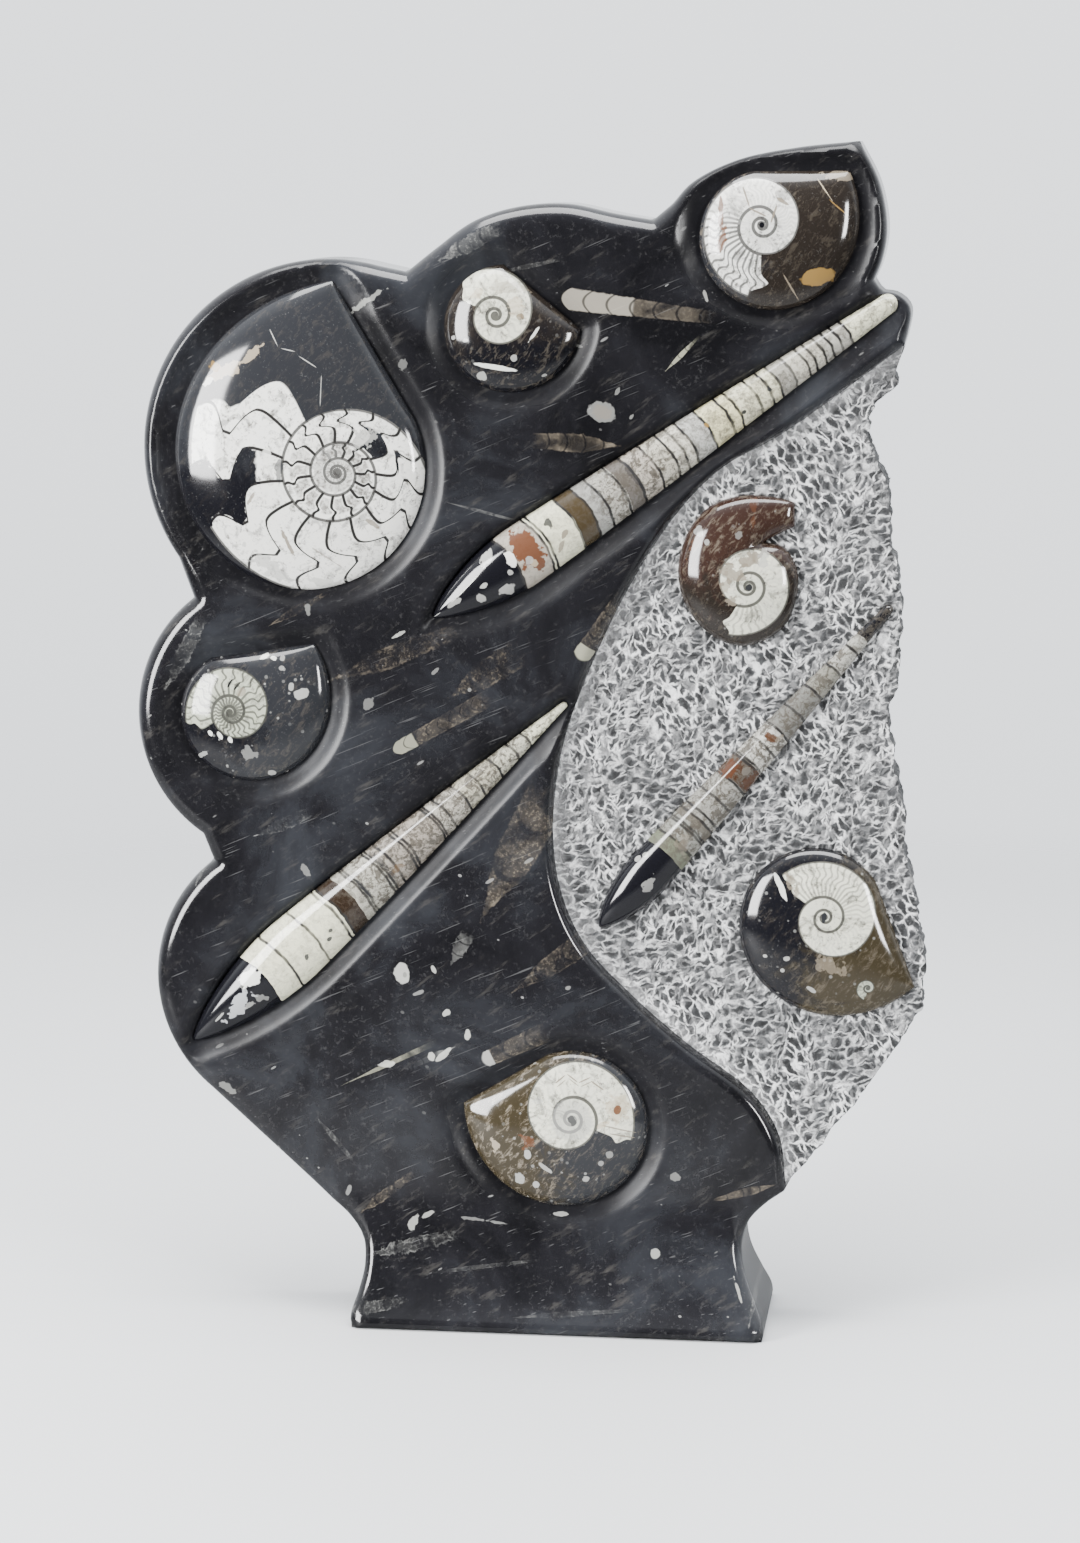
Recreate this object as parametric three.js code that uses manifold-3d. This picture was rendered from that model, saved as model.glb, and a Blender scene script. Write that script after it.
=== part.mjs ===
// A standing slab of black limestone with ten polished fossils set in its front face: seven
// goniatites and three orthoceras. Most of the face is polished and its rim is rounded into lobes.
// A chiselled ground, bounded by an S-shaped curve and a broken edge, takes up the right side.
// The slab narrows to a neck and spreads into the foot that it stands on.
//
// Units are millimetres. X runs to the right as seen from the front, Y to the back and Z up. Outlines
// are drawn as [x, z] points in the plane of the face, and heights are measured from the slab's middle
// plane towards the front, so a height h lies at y = -h.
import * as THREE from "three";
import Module from "manifold-3d";
import { mergeVertices } from "three/addons/utils/BufferGeometryUtils.js";

const wasm = await Module();
wasm.setup();

// Heights and depths
const FACE = 28; // polished face
const GROUND = 18; // chiselled ground
const BACK = -27; // flat back
const MOAT = 6; // depth of the dished recess round a fossil in the polished face
const MOAT_INNER = 2; // from the fossil's outline to the foot of the dished slope
const MOAT_OUTER = 12; // from the fossil's outline to the top of the dished slope
const SEAT = 10; // how deep a fossil sits below the surface at its edge
const JOINT = 0.4; // glue line between a fossil and its pocket
const ROUND = 10; // rounded rim of the lobes
const ROUND_BROKEN = 3; // rim of the broken side

// Foot
const FOOT_FRONT = 57;
const FOOT_BACK = -57;
const FOOT_TOP = 96; // height at which the flare has run out into the slab
const BELOW = 20; // how far shapes run below the base before they are cut off flat
const WIDE = 400; // past every edge of the slab

// Outline of the slab, clockwise from the bottom left. Each lobe is an arc: centre, radius, start and
// end angle in degrees.
const FOOT_LEFT = [[-115, -BELOW], [-115, 8], [-111, 22], [-108, 38], [-110, 54], [-119, 67], [-132, 78]];
const LOBES_LEFT = [
  { centre: [-150, 226], radius: 97.5, from: 231, to: 127 },
  { centre: [-162, 400], radius: 95.5, from: 236, to: 127 },
  { centre: [-129, 572], radius: 122, from: 215, to: 75 },
];
const LOBE_TOP = [[-79, 686], [-60, 701], [-36, 718], [-8, 727], [24, 729], [54, 723], [78, 719]];
const CREST = [[90, 729], [102, 742], [130, 756], [168, 764], [207, 768]];
const CREST_RIGHT = [[207, 768], [220, 742], [225, 714], [222, 694], [217, 682]];
const NOSE = [[222, 675], [232, 673], [240, 665], [239, 650], [235, 636]];
const BROKEN_EDGE = [
  [231, 624], [234, 618], [219, 603], [217, 584], [222, 566], [231, 548], [231, 524], [236, 495],
  [239, 474], [237, 428], [231, 404], [237, 364], [243, 342], [243, 322], [249, 300], [252, 270],
  [257.5, 250], [256, 214], [248, 204], [238, 190], [220, 162], [200, 135], [183, 113], [172, 103],
];
const NECK_RIGHT = [
  [167, 93], [153, 82], [144, 72], [140, 58], [142, 42], [149, 24], [155, 10], [156, -BELOW],
];

// The curve between the polished face and the chiselled ground, from the nose down to the neck
const GROUND_CURVE = [
  [236, 641], [203, 616], [160, 585], [122, 563], [94, 534], [64, 487], [39, 434], [22, 386],
  [15, 331], [20, 289], [36, 253], [66, 221], [102, 190], [146, 157], [163, 130], [168, 96],
];

// Goniatites ground to a drop shape: a round coil that opens to the mouth over the sweep, closed by a
// straight cut. mouth is the radius there, and growth is how late the coil opens.
const GONIATITES = {
  goniatite_large: {
    centre: [-145, 561], radius: 78, mouth: 121, from: 24, sweep: -303, growth: 5, rise: 20,
  },
  goniatite_top_middle: {
    centre: [-15, 652], radius: 39, mouth: 48, from: 92, sweep: 266, growth: 3, rise: 15,
  },
  goniatite_top_right: {
    centre: [149, 709], radius: 41, mouth: 66, from: 100, sweep: 298, growth: 3, rise: 15,
  },
  goniatite_left: {
    centre: [-187, 402], radius: 41, mouth: 66, from: 120, sweep: 284, growth: 3, rise: 15,
  },
  goniatite_bottom: {
    centre: [29, 136], radius: 47, mouth: 73, from: 112, sweep: -300, growth: 2.6, rise: 16,
  },
  goniatite_lower_right: {
    centre: [187, 276], radius: 43, mouth: 77, from: 30, sweep: 294, growth: 2.2, rise: 15,
    inGround: true,
  },
};
// The one goniatite that keeps its open mouth, drawn from the notch round to the mouth
const NOTCHED = {
  name: "goniatite_middle_right",
  centre: [127, 508],
  curve: [
    [150, 517], [163, 513], [171, 499], [171, 483], [164, 464], [149, 453], [134, 450], [116, 457],
    [101, 474], [95, 497], [101, 522], [115, 539], [135, 546], [158, 545], [169, 542],
  ],
  lip: [169, 527],
  rise: 15,
};

// Orthoceras: straight shells from the point to the thin end. half is the greatest half width, reached
// at tip, a share of the length, and end is the half width at the thin end.
const ORTHOCERAS = {
  orthoceras_top: { point: [-62, 466], end: [231, 671], half: 20, thin: 6, tip: 0.2, rise: 14 },
  orthoceras_left: { point: [-223, 183], end: [24, 412], half: 22, thin: 2, tip: 0.27, rise: 15 },
  orthoceras_right: {
    point: [45, 265], end: [231, 477], half: 15.5, thin: 3, tip: 0.17, rise: 12, inGround: true,
  },
};
const TIP_FULLNESS = 0.7;
const TAPER = 1.2;

const polished = (name, color, roughness) => new THREE.MeshStandardMaterial({ name, color, roughness });
const LIMESTONE = polished("black_limestone", 0x1c1d20, 0.2);
const GONIATITE = polished("goniatite", 0x8a8577, 0.12);
const ORTHOCERAS_SHELL = polished("orthoceras", 0xc9c3ae, 0.12);

// ---------------------------------------------------------------- outlines

const radians = THREE.MathUtils.degToRad;

function polar([x, z], r, degrees) {
  const turn = radians(degrees);
  return [x + r * Math.cos(turn), z + r * Math.sin(turn)];
}

// The numbers from 0 to 1 in equal steps
const shares = (steps) => Array.from({ length: steps + 1 }, (_, i) => i / steps);

function arc({ centre, radius, from, to }, chord = 9) {
  const steps = Math.ceil((radius * Math.abs(radians(to - from))) / chord);
  return shares(steps).map((s) => polar(centre, radius, from + (to - from) * s));
}

function spline(points, chord = 9) {
  const curve = new THREE.CatmullRomCurve3(points.map(([x, z]) => new THREE.Vector3(x, z, 0)));
  return curve.getSpacedPoints(Math.ceil(curve.getLength() / chord)).map((p) => [p.x, p.y]);
}

function slabOutline() {
  return [
    ...spline(FOOT_LEFT),
    ...LOBES_LEFT.flatMap((lobe) => arc(lobe)),
    ...spline(LOBE_TOP),
    ...spline(CREST).slice(0, -1),
    ...spline(CREST_RIGHT),
    ...spline(NOSE),
    ...BROKEN_EDGE,
    ...spline(NECK_RIGHT),
  ];
}

function goniatiteOutline({ centre, radius, mouth, from, sweep, growth }, steps = 40) {
  return shares(steps).map((s) => {
    return polar(centre, radius + (mouth - radius) * s ** growth, from + sweep * s);
  });
}

const notchedOutline = () => [...spline(NOTCHED.curve, 6), NOTCHED.lip];

function orthocerasHalfWidth({ half, thin, tip }, t, length) {
  if (t < tip) return half * Math.sin((t / tip) * (Math.PI / 2)) ** TIP_FULLNESS;
  const k = (t - tip) / (1 - tip);
  const taper = half + (thin - half) * k ** TAPER;
  const fromEnd = Math.min(1, ((1 - t) * length) / thin); // the thin end is rounded
  return taper * Math.sqrt(Math.max(0, 1 - (1 - fromEnd) ** 2));
}

// The points of one edge and back along the other, each with the point of the axis that it belongs to
function orthocerasEdges(shell, steps = 16) {
  const point = new THREE.Vector2(...shell.point);
  const axis = new THREE.Vector2(...shell.end).sub(point);
  const across = new THREE.Vector2(-axis.y, axis.x).normalize();
  const stations = shares(steps).map((s) => 0.5 - 0.5 * Math.cos(Math.PI * s));
  const edge = (t, side) => {
    const half = orthocerasHalfWidth(shell, t, axis.length());
    const foot = point.clone().addScaledVector(axis, t);
    const at = foot.clone().addScaledVector(across, side * half);
    return { at: [at.x, at.y], foot: [foot.x, foot.y], height: half / shell.half };
  };
  return [
    ...stations.map((t) => edge(t, 1)),
    ...stations.slice(1, -1).reverse().map((t) => edge(t, -1)),
  ];
}

function area(points) {
  return THREE.ShapeUtils.area(points.map(([x, z]) => new THREE.Vector2(x, z)));
}

// Moves every point of a closed outline outwards by its distance, and a sharp tip by at most three
// times that
function offset(points, distanceAt) {
  const turn = Math.sign(area(points));
  const v = points.map(([x, z]) => new THREE.Vector2(x, z));
  const normal = (a, b) => new THREE.Vector2(b.y - a.y, a.x - b.x).normalize().multiplyScalar(turn);
  return v.map((p, i) => {
    const before = normal(v[(i + v.length - 1) % v.length], p);
    const after = normal(p, v[(i + 1) % v.length]);
    const sum = before.clone().add(after);
    const miter = Math.min(3, 2 / Math.max(sum.length(), 1e-3));
    const moved = p.clone().addScaledVector(sum.normalize(), distanceAt(points[i]) * miter);
    return [moved.x, moved.y];
  });
}

// ---------------------------------------------------------------- solids

// A manifold-3d solid from triangles of [x, height, z] corners
function solid(corners) {
  const g = new THREE.BufferGeometry();
  const place = corners.flatMap(([x, h, z]) => [x, -h, z]);
  g.setAttribute("position", new THREE.Float32BufferAttribute(place, 3));
  const merged = mergeVertices(g, 1e-3);
  const index = merged.index.array;
  const kept = [];
  for (let i = 0; i < index.length; i += 3) {
    const [a, b, c] = index.subarray(i, i + 3);
    if (a !== b && b !== c && c !== a) kept.push(a, b, c);
  }
  const made = (order) => new wasm.Manifold(new wasm.Mesh({
    numProp: 3,
    vertProperties: new Float32Array(merged.attributes.position.array),
    triVerts: new Uint32Array(order),
  }));
  const first = made(kept);
  return first.volume() > 0 ? first : made(kept.reverse());
}

// Triangles between closed rings of [x, height, z] points, which have equal numbers of points
function skin(rings) {
  return rings.slice(1).flatMap((ring, k) => rings[k].flatMap((a, i) => {
    const j = (i + 1) % ring.length;
    return [a, rings[k][j], ring[j], a, ring[j], ring[i]];
  }));
}

// Triangles that close a flat ring. u and v say which two coordinates it is drawn in.
function cap(ring, u = 0, v = 2) {
  const faces = THREE.ShapeUtils.triangulateShape(ring.map((p) => new THREE.Vector2(p[u], p[v])), []);
  return faces.flatMap((face) => face.map((i) => ring[i]));
}

const level = (points, h) => points.map(([x, z]) => [x, h, z]);
const counterclockwise = (points) => (area(points) < 0 ? points.toReversed() : points);

function stack(rings) {
  return solid([...cap(rings[0]).reverse(), ...skin(rings), ...cap(rings.at(-1))]);
}

function prism(points, low, high) {
  const outline = counterclockwise(points);
  return stack([level(outline, low), level(outline, high)]);
}

// The rim's radius: large on the polished lobes, small on the broken side
const rimRadius = ([x]) => ROUND + (ROUND_BROKEN - ROUND) * THREE.MathUtils.smoothstep(x, 90, 190);

// A prism whose edges are rounded on both faces
function rounded(points, low, high, segments = 2) {
  const outline = counterclockwise(points);
  const ring = (face, side, turn) => {
    const moved = offset(outline, (p) => -rimRadius(p) * (1 - Math.cos(turn)));
    const drop = (i) => side * rimRadius(outline[i]) * (1 - Math.sin(turn));
    return moved.map(([x, z], i) => [x, face - drop(i), z]);
  };
  const turns = shares(segments).map((s) => (s * Math.PI) / 2);
  return stack([...turns.map((t) => ring(low, -1, t)).reverse(), ...turns.map((t) => ring(high, 1, t))]);
}

// The profile is [height, z] points of the side view, run across the whole width
function acrossWidth(profile) {
  const right = profile.map(([h, z]) => [WIDE, h, z]);
  const left = profile.map(([h, z]) => [-WIDE, h, z]);
  return solid([...cap(right, 1, 2).reverse(), ...skin([right, left]), ...cap(left, 1, 2)]);
}

// A polished fossil: straight sides from its bottom to its edge, then a domed top. edge is a list of
// {at, foot, height}: the outline's point, the point under the crown that it rises towards, and how
// much of the full rise it reaches there.
function fossil(edge, bottom, top, rise, rings = 4) {
  const points = edge.map((e) => e.at);
  const sides = area(points) < 0 ? edge.toReversed() : edge;
  const dome = shares(rings).map((s) => {
    const turn = (s * Math.PI) / 2;
    return sides.map(({ at, foot, height }) => [
      foot[0] + (at[0] - foot[0]) * Math.cos(turn),
      top + rise * height * Math.sin(turn),
      foot[1] + (at[1] - foot[1]) * Math.cos(turn),
    ]);
  });
  const bottomRing = sides.map(({ at }) => [at[0], bottom, at[1]]);
  return solid([...cap(bottomRing).reverse(), ...skin([bottomRing, ...dome])]);
}

// The dished recess round a fossil and the pocket under it
function moat(points) {
  const outline = counterclockwise(points);
  return stack([
    level(offset(outline, () => MOAT_INNER), FACE - MOAT),
    level(offset(outline, () => MOAT_OUTER), FACE + 0.5),
  ]);
}

function pocket(points, floor) {
  return prism(offset(points, () => JOINT), floor, FACE + 1);
}

// ---------------------------------------------------------------- the slab

function slab(recesses) {
  const outline = slabOutline();
  const groundEdge = spline(GROUND_CURVE, 9);
  const ground = [...groundEdge.toReversed(), ...BROKEN_EDGE.slice(0, -1), [171, 102]];
  const beyond = [...groundEdge, [WIDE, 96], [WIDE, 641]];
  const footOutline = [
    ...spline(FOOT_LEFT),
    [-160, FOOT_TOP + 6],
    [200, FOOT_TOP + 6],
    ...spline(NECK_RIGHT),
  ];
  const footProfile = [
    [FOOT_BACK, -BELOW], [FOOT_FRONT, -BELOW], [FOOT_FRONT, 5], [FOOT_FRONT - 5, 13],
    [FOOT_FRONT - 14, 30], [FOOT_FRONT - 23, 52], [FACE, 78], [FACE - 4, FOOT_TOP],
    [BACK + 4, FOOT_TOP], [BACK, 78], [FOOT_BACK + 23, 52], [FOOT_BACK + 14, 30],
    [FOOT_BACK + 5, 13], [FOOT_BACK, 5],
  ];
  const foot = acrossWidth(footProfile)
    .intersect(rounded(footOutline, FOOT_BACK, FOOT_FRONT))
    .intersect(prism(outline, FOOT_BACK - 1, FOOT_FRONT + 1));
  const below = prism([[-WIDE, -WIDE], [WIDE, -WIDE], [WIDE, 0], [-WIDE, 0]], -WIDE, WIDE);
  let made = rounded(outline, BACK, FACE)
    .add(prism(ground, BACK, GROUND))
    .subtract(prism(beyond, GROUND, FACE + 10))
    .add(foot)
    .subtract(below);
  for (const recess of recesses) made = made.subtract(recess);
  return made;
}

// ---------------------------------------------------------------- the object

const object = new THREE.Group();

function addNode(name, made, material) {
  const { vertProperties, triVerts } = made.getMesh();
  const g = new THREE.BufferGeometry();
  g.setAttribute("position", new THREE.BufferAttribute(new Float32Array(vertProperties), 3));
  g.setIndex(new THREE.BufferAttribute(new Uint32Array(triVerts), 1));
  g.computeVertexNormals();
  const mesh = new THREE.Mesh(g, material);
  mesh.name = name;
  object.add(mesh);
}

const recesses = [];

function setFossil(name, edge, { rise, inGround }, material) {
  const points = edge.map((e) => e.at);
  const surface = inGround ? GROUND : FACE - MOAT;
  const floor = surface - SEAT;
  if (!inGround) recesses.push(moat(points));
  recesses.push(pocket(points, floor));
  addNode(name, fossil(edge, floor + JOINT, surface, rise), material);
}

for (const [name, g] of Object.entries(GONIATITES)) {
  setFossil(name, goniatiteOutline(g).map((at) => ({ at, foot: g.centre, height: 1 })), g, GONIATITE);
}
const notchedEdge = notchedOutline().map((at) => ({ at, foot: NOTCHED.centre, height: 1 }));
setFossil(NOTCHED.name, notchedEdge, { rise: NOTCHED.rise, inGround: true }, GONIATITE);
for (const [name, shell] of Object.entries(ORTHOCERAS)) {
  setFossil(name, orthocerasEdges(shell), shell, ORTHOCERAS_SHELL);
}
addNode("slab", slab(recesses), LIMESTONE);

export default object;
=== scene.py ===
"""A carved and polished slab of black limestone, set with orthoceras and goniatite fossils.

The slab stands on its own flared foot. Each operator below makes one piece or a group of like pieces
in place of the CAD nodes of the same name. Sizes in the code are in millimetres in the plane of the
face, [x, z], with heights measured towards the front, and become metres when they go into a mesh.
"""

import math

import bmesh
import bpy
import numpy as np
from bpy.props import FloatProperty, FloatVectorProperty, PointerProperty
from bpy.types import Operator, Panel, PropertyGroup
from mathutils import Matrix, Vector, noise


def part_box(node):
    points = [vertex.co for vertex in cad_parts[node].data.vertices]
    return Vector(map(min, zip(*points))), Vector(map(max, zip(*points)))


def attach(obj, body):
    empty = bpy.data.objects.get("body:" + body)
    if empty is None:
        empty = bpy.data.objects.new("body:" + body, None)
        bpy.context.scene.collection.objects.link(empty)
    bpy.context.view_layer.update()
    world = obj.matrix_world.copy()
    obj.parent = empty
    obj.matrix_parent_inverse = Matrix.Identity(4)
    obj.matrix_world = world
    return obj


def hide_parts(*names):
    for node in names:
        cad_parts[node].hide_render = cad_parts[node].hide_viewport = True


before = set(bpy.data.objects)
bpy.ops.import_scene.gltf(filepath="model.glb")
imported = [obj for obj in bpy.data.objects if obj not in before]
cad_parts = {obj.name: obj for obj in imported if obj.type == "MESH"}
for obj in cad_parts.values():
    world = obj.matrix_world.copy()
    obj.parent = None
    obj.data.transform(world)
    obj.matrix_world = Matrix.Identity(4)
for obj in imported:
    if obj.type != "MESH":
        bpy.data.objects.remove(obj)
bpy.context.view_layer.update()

bl_info = {
    "name": "Carved fossil plaque",
    "version": (1, 0, 0),
    "blender": (4, 5, 0),
    "location": "3D View > Sidebar > Fossil plaque",
    "description": "Makes a carved limestone slab set with orthoceras and goniatites",
    "category": "Object",
}

MM = 0.001

# Heights towards the front, depths and the foot, as in the solids
FACE = 28.0
GROUND = 18.0
BACK = -27.0
RECESS = 6.0
SEAT = 10.0
JOINT = 0.4
FOOT_REACH = 29.0
FOOT_FLARE_TOP = 100.0

# Outline of the slab, clockwise from the bottom left
FOOT_LEFT = [(-114, 0), (-115, 8), (-111, 22), (-108, 38), (-110, 54), (-119, 67), (-132, 78)]
LOBES_LEFT = [(-150, 226, 97.5, 231, 127), (-162, 400, 95.5, 236, 127), (-129, 572, 122, 215, 75)]
LOBE_TOP = [(-79, 686), (-60, 701), (-36, 718), (-8, 727), (24, 729), (54, 723), (78, 719)]
CREST = [(90, 729), (102, 742), (130, 756), (168, 764), (207, 768)]
CREST_RIGHT = [(207, 768), (220, 742), (225, 714), (222, 694), (217, 682)]
NOSE = [(222, 675), (232, 673), (240, 665), (239, 650), (235, 636)]
BROKEN_EDGE = [
    (231, 624), (234, 618), (219, 603), (217, 584), (222, 566), (231, 548), (231, 524), (236, 495),
    (239, 474), (237, 428), (231, 404), (237, 364), (243, 342), (243, 322), (249, 300), (252, 270),
    (257, 250), (256, 214), (248, 204), (238, 190), (220, 162), (200, 135), (183, 113), (172, 103),
]
NECK_RIGHT = [(167, 93), (153, 82), (144, 72), (140, 58), (142, 42), (149, 24), (155, 10), (156, 0)]
GROUND_CURVE = [
    (236, 641), (203, 616), (160, 585), (122, 563), (94, 534), (64, 487), (39, 434), (22, 386),
    (15, 331), (20, 289), (36, 253), (66, 221), (102, 190), (146, 157), (163, 130), (168, 96),
]

# Goniatites: centre, start radius, mouth radius, start angle, sweep, growth, share of the rise, and whether
# the fossil lies in the chiselled ground
GONIATITES = {
    "goniatite_large": ((-145, 561), 78, 121, 24, -303, 5.0, 1.33, False),
    "goniatite_top_middle": ((-15, 652), 39, 48, 92, 266, 3.0, 1.0, False),
    "goniatite_top_right": ((149, 709), 41, 66, 100, 298, 3.0, 1.0, False),
    "goniatite_left": ((-187, 402), 41, 66, 120, 284, 3.0, 1.0, False),
    "goniatite_bottom": ((29, 136), 47, 73, 112, -300, 2.6, 1.07, False),
    "goniatite_lower_right": ((187, 276), 43, 77, 30, 294, 2.2, 1.0, True),
}
NOTCHED = "goniatite_middle_right"
NOTCHED_CENTRE = (127, 508)
NOTCHED_CURVE = [
    (150, 517), (163, 513), (171, 499), (171, 483), (164, 464), (149, 453), (134, 450), (116, 457),
    (101, 474), (95, 497), (101, 522), (115, 539), (135, 546), (158, 545), (169, 542),
]
NOTCHED_LIP = (169, 527)

# Orthoceras: point, thin end, greatest half width, half width at the thin end, share of the length that
# the tip takes, rise, and whether it lies in the chiselled ground
ORTHOCERAS = {
    "orthoceras_top": ((-62, 466), (231, 671), 20.0, 6.0, 0.20, 14, False),
    "orthoceras_left": ((-223, 183), (24, 412), 22.0, 2.0, 0.27, 15, False),
    "orthoceras_right": ((45, 265), (231, 477), 15.5, 3.0, 0.17, 12, True),
}
TIP_FULLNESS = 0.7
TAPER = 1.2


# ---------------------------------------------------------------- outlines in the plane of the face

def arc(cx, cz, radius, start, end, chord=2.0):
    """Points on an arc, with the angles in degrees."""
    steps = math.ceil(radius * abs(math.radians(end - start)) / chord)
    angles = np.radians(np.linspace(start, end, steps + 1))
    return np.column_stack([cx + radius * np.cos(angles), cz + radius * np.sin(angles)])


def spline(points, chord=2.0):
    """A smooth curve through the points (centripetal Catmull-Rom), cut into even steps."""
    p = np.array(points, float)
    p = np.vstack([2 * p[0] - p[1], p, 2 * p[-1] - p[-2]])
    out = []
    for p0, p1, p2, p3 in zip(p, p[1:], p[2:], p[3:]):
        t0, t1 = 0.0, np.linalg.norm(p1 - p0) ** 0.5
        t2 = t1 + np.linalg.norm(p2 - p1) ** 0.5
        t3 = t2 + np.linalg.norm(p3 - p2) ** 0.5
        t = np.linspace(t1, t2, 24, endpoint=False)[:, None]
        a1 = (t1 - t) / (t1 - t0) * p0 + (t - t0) / (t1 - t0) * p1
        a2 = (t2 - t) / (t2 - t1) * p1 + (t - t1) / (t2 - t1) * p2
        a3 = (t3 - t) / (t3 - t2) * p2 + (t - t2) / (t3 - t2) * p3
        b1 = (t2 - t) / (t2 - t0) * a1 + (t - t0) / (t2 - t0) * a2
        b2 = (t3 - t) / (t3 - t1) * a2 + (t - t1) / (t3 - t1) * a3
        out.append((t2 - t) / (t2 - t1) * b1 + (t - t1) / (t2 - t1) * b2)
    out.append(p[-2:-1])
    return even_steps(np.vstack(out), chord)


def run_along(line):
    """How far along an open line each of its points is."""
    return np.concatenate([[0], np.cumsum(np.linalg.norm(np.diff(line, axis=0), axis=1))])


def resample(line, count):
    """The same open line as evenly spaced points."""
    along = run_along(line)
    places = np.linspace(0, along[-1], count)
    return np.column_stack([np.interp(places, along, line[:, i]) for i in (0, 1)])


def even_steps(line, chord):
    """The same open line, cut into even steps of about one chord."""
    return resample(line, max(2, math.ceil(run_along(line)[-1] / chord) + 1))


def chipped(line):
    """The broken edge with small chips, all of them inwards."""
    fine = even_steps(np.array(line, float), 2.0)
    share = np.linspace(0, 1, len(fine))
    chips = np.zeros(len(fine))
    for depth, size, seed in ((3.4, 7, 0.5), (2.2, 2.7, 3.5)):
        chips += [depth * noise.noise(Vector((seed, 0.5, z / size))) for z in fine[:, 1]]
    fine[:, 0] -= np.clip(1.3 + chips, 0, 5) * smooth(share, 0, 0.03) * (1 - smooth(share, 0.97, 1))
    return fine


def slab_outline():
    lobes = [arc(*lobe) for lobe in LOBES_LEFT]
    return np.vstack([
        spline(FOOT_LEFT), *lobes, spline(LOBE_TOP), spline(CREST)[:-1], spline(CREST_RIGHT), spline(NOSE),
        chipped(BROKEN_EDGE), spline(NECK_RIGHT),
    ])


def goniatite_outline(centre, radius, mouth, start, sweep, growth, steps=150):
    s = np.linspace(0, 1, steps + 1)
    r = radius + (mouth - radius) * s ** growth
    a = np.radians(start + sweep * s)
    return np.column_stack([centre[0] + r * np.cos(a), centre[1] + r * np.sin(a)])


def notched_outline():
    return np.vstack([spline(NOTCHED_CURVE), [NOTCHED_LIP]])


def half_width(t, length, half, thin, tip):
    """Half width of an orthoceras at each share t of its length."""
    k = np.clip((t - tip) / (1 - tip), 0, 1)
    taper = half + (thin - half) * k ** TAPER
    from_end = np.minimum(1, (1 - t) * length / thin)
    taper = taper * np.sqrt(np.maximum(0, 1 - (1 - from_end) ** 2))
    point = half * np.sin(np.clip(t / tip, 0, 1) * math.pi / 2) ** TIP_FULLNESS
    return np.where(t < tip, point, taper)


def orthoceras_frame(name):
    """Point, unit axis, unit normal across it and length."""
    point, end = (np.array(p, float) for p in ORTHOCERAS[name][:2])
    length = np.linalg.norm(end - point)
    axis = (end - point) / length
    return point, axis, np.array([-axis[1], axis[0]]), length


def orthoceras_outline(name, steps=90):
    point, axis, across, length = orthoceras_frame(name)
    t = 0.5 - 0.5 * np.cos(np.linspace(0, math.pi, steps + 1))
    w = half_width(t, length, *ORTHOCERAS[name][2:5])
    middle = point + t[:, None] * length * axis
    upper = middle + w[:, None] * across
    lower = middle - w[:, None] * across
    return np.vstack([upper, lower[-2:0:-1]])


def fossil_outlines():
    found = {name: goniatite_outline(*g[:6]) for name, g in GONIATITES.items()}
    found[NOTCHED] = notched_outline()
    for name in ORTHOCERAS:
        found[name] = orthoceras_outline(name)
    return found


def is_in_ground(name):
    if name == NOTCHED:
        return True
    return (GONIATITES.get(name) or ORTHOCERAS.get(name))[-1]


# Points that are measured at one time, which keeps the arrays small
BATCH = 6000


def measure(points, line):
    """Signed distance of points from a closed line, above 0 inside it, and the nearest point of the line."""
    a = np.asarray(line, float)
    b = np.roll(a, -1, axis=0)
    keep = np.linalg.norm(b - a, axis=1) > 1e-6
    a, b = a[keep], b[keep]
    d = b - a
    dd = (d * d).sum(1)
    signed = np.empty(len(points))
    nearest = np.empty((len(points), 2))
    for start in range(0, len(points), BATCH):
        batch = slice(start, start + BATCH)
        p = points[batch]
        px, pz = p[:, :1], p[:, 1:]
        t = np.clip(((px - a[:, 0]) * d[:, 0] + (pz - a[:, 1]) * d[:, 1]) / dd, 0, 1)
        fx, fz = a[:, 0] + t * d[:, 0], a[:, 1] + t * d[:, 1]
        q = (px - fx) ** 2 + (pz - fz) ** 2
        best = q.argmin(1)
        rows = np.arange(len(p))
        crosses = (a[:, 1] > pz) != (b[:, 1] > pz)
        x_at = a[:, 0] + (pz - a[:, 1]) / np.where(d[:, 1] == 0, 1e-9, d[:, 1]) * d[:, 0]
        inside = ((crosses & (px < x_at)).sum(1) % 2) == 1
        signed[batch] = np.sqrt(q[rows, best]) * np.where(inside, 1, -1)
        nearest[batch] = np.column_stack([fx[rows, best], fz[rows, best]])
    return signed, nearest


def smooth(x, low, high):
    """A smooth step from 0 at low to 1 at high."""
    t = np.clip((x - low) / (high - low), 0, 1)
    return t * t * (3 - 2 * t)


# ---------------------------------------------------------------- meshes

def deselect_all():
    if bpy.context.object and bpy.context.object.mode != "OBJECT":
        bpy.ops.object.mode_set(mode="OBJECT")
    bpy.ops.object.select_all(action="DESELECT")


def select_only(obj):
    deselect_all()
    obj.select_set(True)
    bpy.context.view_layer.objects.active = obj


def read(items, name, width=1, kind=float):
    """One property of all the vertices, edges, corners or faces of a mesh."""
    values = np.empty(len(items) * width, kind)
    items.foreach_get(name, values)
    return values.reshape(-1, width) if width > 1 else values


def coordinates(mesh):
    """Vertex positions in millimetres."""
    return read(mesh.vertices, "co", 3) / MM


def face_centres(mesh):
    """Middles of the faces in millimetres."""
    return read(mesh.polygons, "center", 3) / MM


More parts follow.
